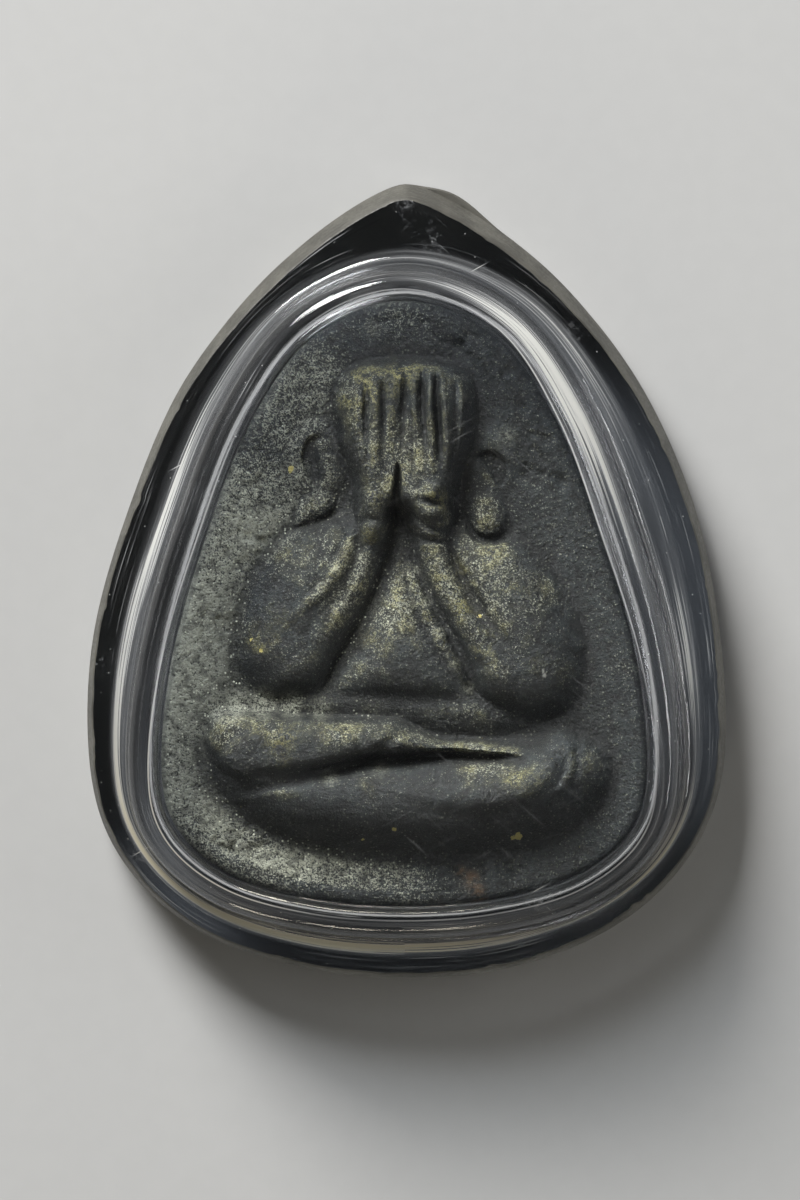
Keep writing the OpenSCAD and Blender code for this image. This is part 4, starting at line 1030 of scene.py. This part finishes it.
        # Painted light: the plaque paler on the left, more so low down, and darker on the right
        left = np.clip(0.24 - u * 1.20, 0, 0.9) * np.clip(1.0 - v, 0.5, 1) - 0.2 * np.clip(u, 0, 1)
        rubbed = np.clip(1 - inset / 0.0016 + cloud, 0, 1) * np.clip(-4 * v - 2.4, 0, 1)
        dust_and_light = on * (0.12 + 0.12 * crest) + (1 - on) * (left - 0.5 * rubbed) + 0.5 * cloud
        wear = spots(x, y, YELLOW_WEAR, 1.0) + on * (0.35 * crest + 0.6 * cloud)
        # Painted shade: listed spots and the slopes that face the bottom get darker and lose their pale
        # grains and wear
        shaded_faces = 0.5 * shade_facing_down + spots(x, y, SHADED_FACES, 1.0)
        return {"painted_shade": np.clip(painted_shade + 0.5 * shaded_faces, 0, 1),
                "dust_and_light": np.clip(dust_and_light - shaded_faces, 0, 1),
                "dust_heap_and_highlight": spots(x, y, PALE_DUST_AND_HIGHLIGHTS, 1.0) * np.clip(0.8 + cloud, 0, 1),
                "wear": np.clip(wear - shaded_faces, 0, 1),
                "gold": spots(x, y, GOLD_FLECKS, 0.5),
                "white": spots(x, y, WHITE_FLECKS, 0.5),
                "brown": spots(x, y, BROWN_STAINS, 0.9) * np.clip(0.6 + cloud * 1.5, 0, 1)}


def case_place():
    """Plain outline of the rim, the same with its tip, and the shift that brings the middle of the latter
    over the origin."""
    case = bpy.context.scene.case_sizes
    plain = widened(case.side_gap + case.wall + case.foot + case.rim_width, rim=1)
    rim = with_tip(plain)
    return plain, rim, -(rim.min(axis=0) + rim.max(axis=0)) / 2


def section_rings(corners):
    """One ring of the case for each corner of its section."""
    return [level(widened(distance, rim, crest), height) for distance, height, rim, crest in corners]


def case_materials(round_name, flat_name):
    """Acrylic whose marks follow the outline, the ground edge, and the clearer acrylic of the flat faces."""
    look = bpy.context.scene.finishes
    return [acrylic_material(round_name, look.acrylic, True), ground_material(),
            acrylic_material(flat_name, look.window, False)]


def case_kinds(rings, first, last):
    """Material of each face of a half: the ground edge from the first band to the last, the flat acrylic on
    the two end faces, and the other acrylic on the rest."""
    band = np.arange(len(rings) - 1)
    ground = np.where((band >= first) & (band <= last), 1, 0)
    return np.concatenate([np.repeat(ground, len(rings[0])), [2, 2]])


class AMULET_OT_front_shell(bpy.types.Operator):
    """Makes the clear front half: window, crest, wall, hollow fillet, flat rim and ground edge"""
    bl_idname = "amulet.front_shell"
    bl_label = "Front half of the case"

    def execute(self, context):
        case = context.scene.case_sizes
        low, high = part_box("front_shell")
        rim_low, front = low[2], high[2]
        plain, rim, shift = case_place()
        outside, cavity = self.section(case, rim_low, front)
        edge = self.edge(case, plain, rim, rim_low)
        rings = section_rings(outside) + edge + section_rings(cavity)
        points, polygons, uv = carried_skin(rings)
        kinds = case_kinds(rings, len(outside), len(outside) + len(edge) - 2)
        marks = {"scuff": spots(points[:, 0], points[:, 1], SCUFFS, 1.0), "haze_and_highlight": self.haze_and_highlight(len(rings))}
        points[:, :2] += shift
        piece = add_piece("clear_front", points, polygons,
                          case_materials("polished acrylic", "window acrylic"), kinds, uv, marks)
        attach(piece, "root")
        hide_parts("front_shell")
        return {"FINISHED"}

    def section(self, case, rim_low, front):
        """Corners of the section outside, from the window to the rim, and of the hollow inside, from the
        joint up to the window. Each is the distance from the amulet's outline, the height, and the shares of
        the rim's and the crest's widening."""
        rim_top, ceiling = rim_low + case.rim, front - case.window
        wall_out = case.side_gap + case.wall
        crest_out, fillet_out = wall_out - case.wall_draft, wall_out + case.foot
        window_edge = (crest_out - case.crest, front, 0, 1)
        crest_foot = (crest_out, front - case.crest, 0, 0)
        wall_foot = (wall_out, rim_top + case.foot, 0, 0)
        fillet_end = (fillet_out, rim_top, FILLET_SHARE, 0)
        rim_end = (fillet_out + case.rim_width, rim_top, 1, 0)
        outside = [(window_edge[0] - FLAT_STRIP, front, 0, 1), window_edge]
        outside += quarter(window_edge, crest_foot, CREST_RINGS) + [wall_foot]
        outside += quarter(wall_foot, fillet_end, FILLET_RINGS, True)
        outside += [tuple(a + (b - a) * s for a, b in zip(fillet_end, rim_end)) for s in (0.15, 0.4)]
        side = (case.side_gap, ceiling - case.inner, 0, 0)
        top = (case.side_gap - case.inner, ceiling, 0, 0)
        cavity = [(case.side_gap, rim_low, 0, 0), side] + quarter(side, top, INNER_RINGS, True)
        return outside, cavity + [(top[0] - FLAT_STRIP, ceiling, 0, 0)]

    def edge(self, case, plain, rim, rim_low):
        """Rings of the ground edge between its broken corners. It leans in from the joint to the top, most
        beside the tip, and its top wanders and has nicks by two noises."""
        normal, corner = outward(plain), case.ground_corner
        lean = case.edge_lean + case.tip_lean * np.clip(rim[:, 1] / rim[:, 1].max(), 0, None) ** 2
        wander = np.abs(rough_noise(rim[:, 0] * 1.3, rim[:, 1], "ground edge"))
        nicks = np.clip(rough_noise(rim[:, 0], rim[:, 1], "nicks") - 0.25, 0, None)
        top = rim - normal * (lean + EDGE_WAVES * wander + NICKS * nicks)[:, None]
        rim_top = rim_low + case.rim
        high = rim_top - corner * 0.6
        rings = [level(top - normal * corner, rim_top), level(top, high)]
        rings += [level(top + (rim - top) * s, high + (rim_low - rim_top + corner) * s)
                  for s in (0.33, 0.66, 1)]
        return rings + [level(rim - normal * corner, rim_low)]

    def haze_and_highlight(self, count):
        """Polishing haze and painted highlight of each point: one profile over the rings of the crest and one
        over those of the fillet, straight between a few given rings, times the crest's and the fillet's share
        for the place round the case."""
        ring = np.arange(count)
        crest = np.interp(ring, [1, 2, 5, 9, 12, 15], [0, 0.5, 1, 1, 0.5, 0])
        fillet = np.interp(ring, [16, 18, 21, 25, 27, 28, 29], [0, 0.4, 0.6, 1, 0.9, 0.4, 0])
        on_crest, on_fillet = np.clip(closed_curve(np.array(HAZE_AND_HIGHLIGHTS), CASE_STEPS).T, 0, None)
        return (crest[:, None] * on_crest + fillet[:, None] * on_fillet).ravel()


class AMULET_OT_back_shell(bpy.types.Operator):
    """Makes the clear back half: a plate with the rim's outline, its bulge, a ground edge and the seat"""
    bl_idname = "amulet.back_shell"
    bl_label = "Back half of the case"

    def execute(self, context):
        case = context.scene.case_sizes
        low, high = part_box("back_shell")
        bottom, top = low[2], high[2]
        plain, tipped, shift = case_place()
        rim = with_lobe(tipped)
        normal, corner = outward(plain), case.ground_corner
        seat = widened(case.side_gap)
        inside = [level(widened(case.side_gap - FLAT_STRIP), top - case.seat), level(seat, top - case.seat),
                  level(seat, top)]
        edge = [level(tipped - normal * corner * 2, top), level(rim - normal * corner, top)]
        edge += [level(rim, top - corner - (top - bottom - 2 * corner) * s) for s in (0, 0.33, 0.66, 1)]
        edge += [level(rim - normal * corner, bottom), level(rim - normal * (corner + BASE_STRIP), bottom)]
        rings = inside + edge
        points, polygons, uv = carried_skin(rings)
        points[:, :2] += shift
        kinds = case_kinds(rings, len(inside), len(rings) - 3)
        piece = add_piece("clear_back", points, polygons,
                          case_materials("back acrylic", "plate acrylic"), kinds, uv)
        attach(piece, "root")
        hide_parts("back_shell")
        return {"FINISHED"}


def aim(thing, place, target):
    """Puts a lamp or camera at a place, looking at the target with +Y up in its picture."""
    back = (Vector(place) - Vector(target)).normalized()
    right = Vector((0, 1, 0)).cross(back).normalized()
    turn = Matrix((right, back.cross(right), back)).transposed()
    thing.matrix_world = Matrix.Translation(place) @ turn.to_4x4()


def add_lamp(name, place, target, width, height, power, tone=(1, 1, 1)):
    """One rectangular soft lamp."""
    data = bpy.data.lights.new(name, "AREA")
    data.shape, data.size, data.size_y, data.energy, data.color = "RECTANGLE", width, height, power, tone
    lamp = bpy.data.objects.new(name, data)
    bpy.context.scene.collection.objects.link(lamp)
    aim(lamp, place, target)


class AMULET_OT_stage(bpy.types.Operator):
    """Adds the floor, the room's light, the lamps and the camera"""
    bl_idname = "amulet.stage"
    bl_label = "Stage"

    def execute(self, context):
        scene = context.scene
        stage = scene.stage_settings
        floor_z = CAD_BOX[0][2] - FLOOR_GAP
        points = np.array([(x, y, floor_z) for x, y in ((-3, -3), (3, -3), (3, 3), (-3, 3))])
        add_piece("floor", points, [np.array([[0, 1, 2, 3]])], [floor_material()])
        world = bpy.data.worlds.new("room")
        world.use_nodes = True
        light = world.node_tree.nodes["Background"].inputs
        light["Color"].default_value = (0.95, 0.97, 1.0, 1)
        light["Strength"].default_value = stage.room
        scene.world = world
        case = (0, 0, 0.004)
        add_lamp("key", (-0.24, 0.46, 0.30), case, 0.30, 0.20, stage.key)
        for name, (place, width, height, part, tone) in STRIP_LAMPS.items():
            add_lamp(name, place, case, width, height, stage.side * part, tone)
        pixel = stage.view_height / PICTURE_HEIGHT
        target = Vector((-CASE_RIGHT * pixel, -CASE_UP * pixel, 0.0035))
        camera = bpy.data.cameras.new("camera")
        camera.sensor_width = 36
        camera.lens = camera.sensor_width * stage.distance / stage.view_height
        camera.clip_start, camera.clip_end = 0.01, 20
        eye = bpy.data.objects.new("camera", camera)
        scene.collection.objects.link(eye)
        # The camera stands 1 degree to the right of straight above and 2 degrees up the picture
        across, up = math.radians(1.0), math.radians(2.0)
        back = Vector((math.sin(across), math.sin(up), math.cos(across) * math.cos(up))).normalized()
        aim(eye, target + back * stage.distance, target)
        scene.camera = eye
        scene.view_settings.view_transform = "Standard"
        return {"FINISHED"}


class AMULET_PT_panel(bpy.types.Panel):
    """Lists the pieces of the amulet and its case"""
    bl_idname = "AMULET_PT_panel"
    bl_label = "Amulet"
    bl_space_type = "VIEW_3D"
    bl_region_type = "UI"
    bl_category = "Amulet"

    def draw(self, context):
        for kind in OPERATORS:
            self.layout.operator(kind.bl_idname)
        for name in ("amulet_sizes", "case_sizes", "finishes", "stage_settings"):
            group = getattr(context.scene, name)
            box = self.layout.box()
            for key in group.__annotations__:
                box.prop(group, key)


OPERATORS = (AMULET_OT_cast_amulet, AMULET_OT_front_shell, AMULET_OT_back_shell, AMULET_OT_stage)
GROUPS = {"amulet_sizes": AmuletSizes, "case_sizes": CaseSizes, "finishes": Finishes,
          "stage_settings": StageSettings}


def register():
    for kind in (*GROUPS.values(), *OPERATORS, AMULET_PT_panel):
        bpy.utils.register_class(kind)
    for name, kind in GROUPS.items():
        setattr(bpy.types.Scene, name, PointerProperty(type=kind))


def unregister():
    for name in GROUPS:
        delattr(bpy.types.Scene, name)
    for kind in (AMULET_PT_panel, *reversed(OPERATORS), *GROUPS.values()):
        bpy.utils.unregister_class(kind)


def main():
    """Builds everything in order."""
    register()
    bpy.ops.amulet.cast_amulet()
    bpy.ops.amulet.front_shell()
    bpy.ops.amulet.back_shell()
    bpy.ops.amulet.stage()


if __name__ == "__main__":
    main()
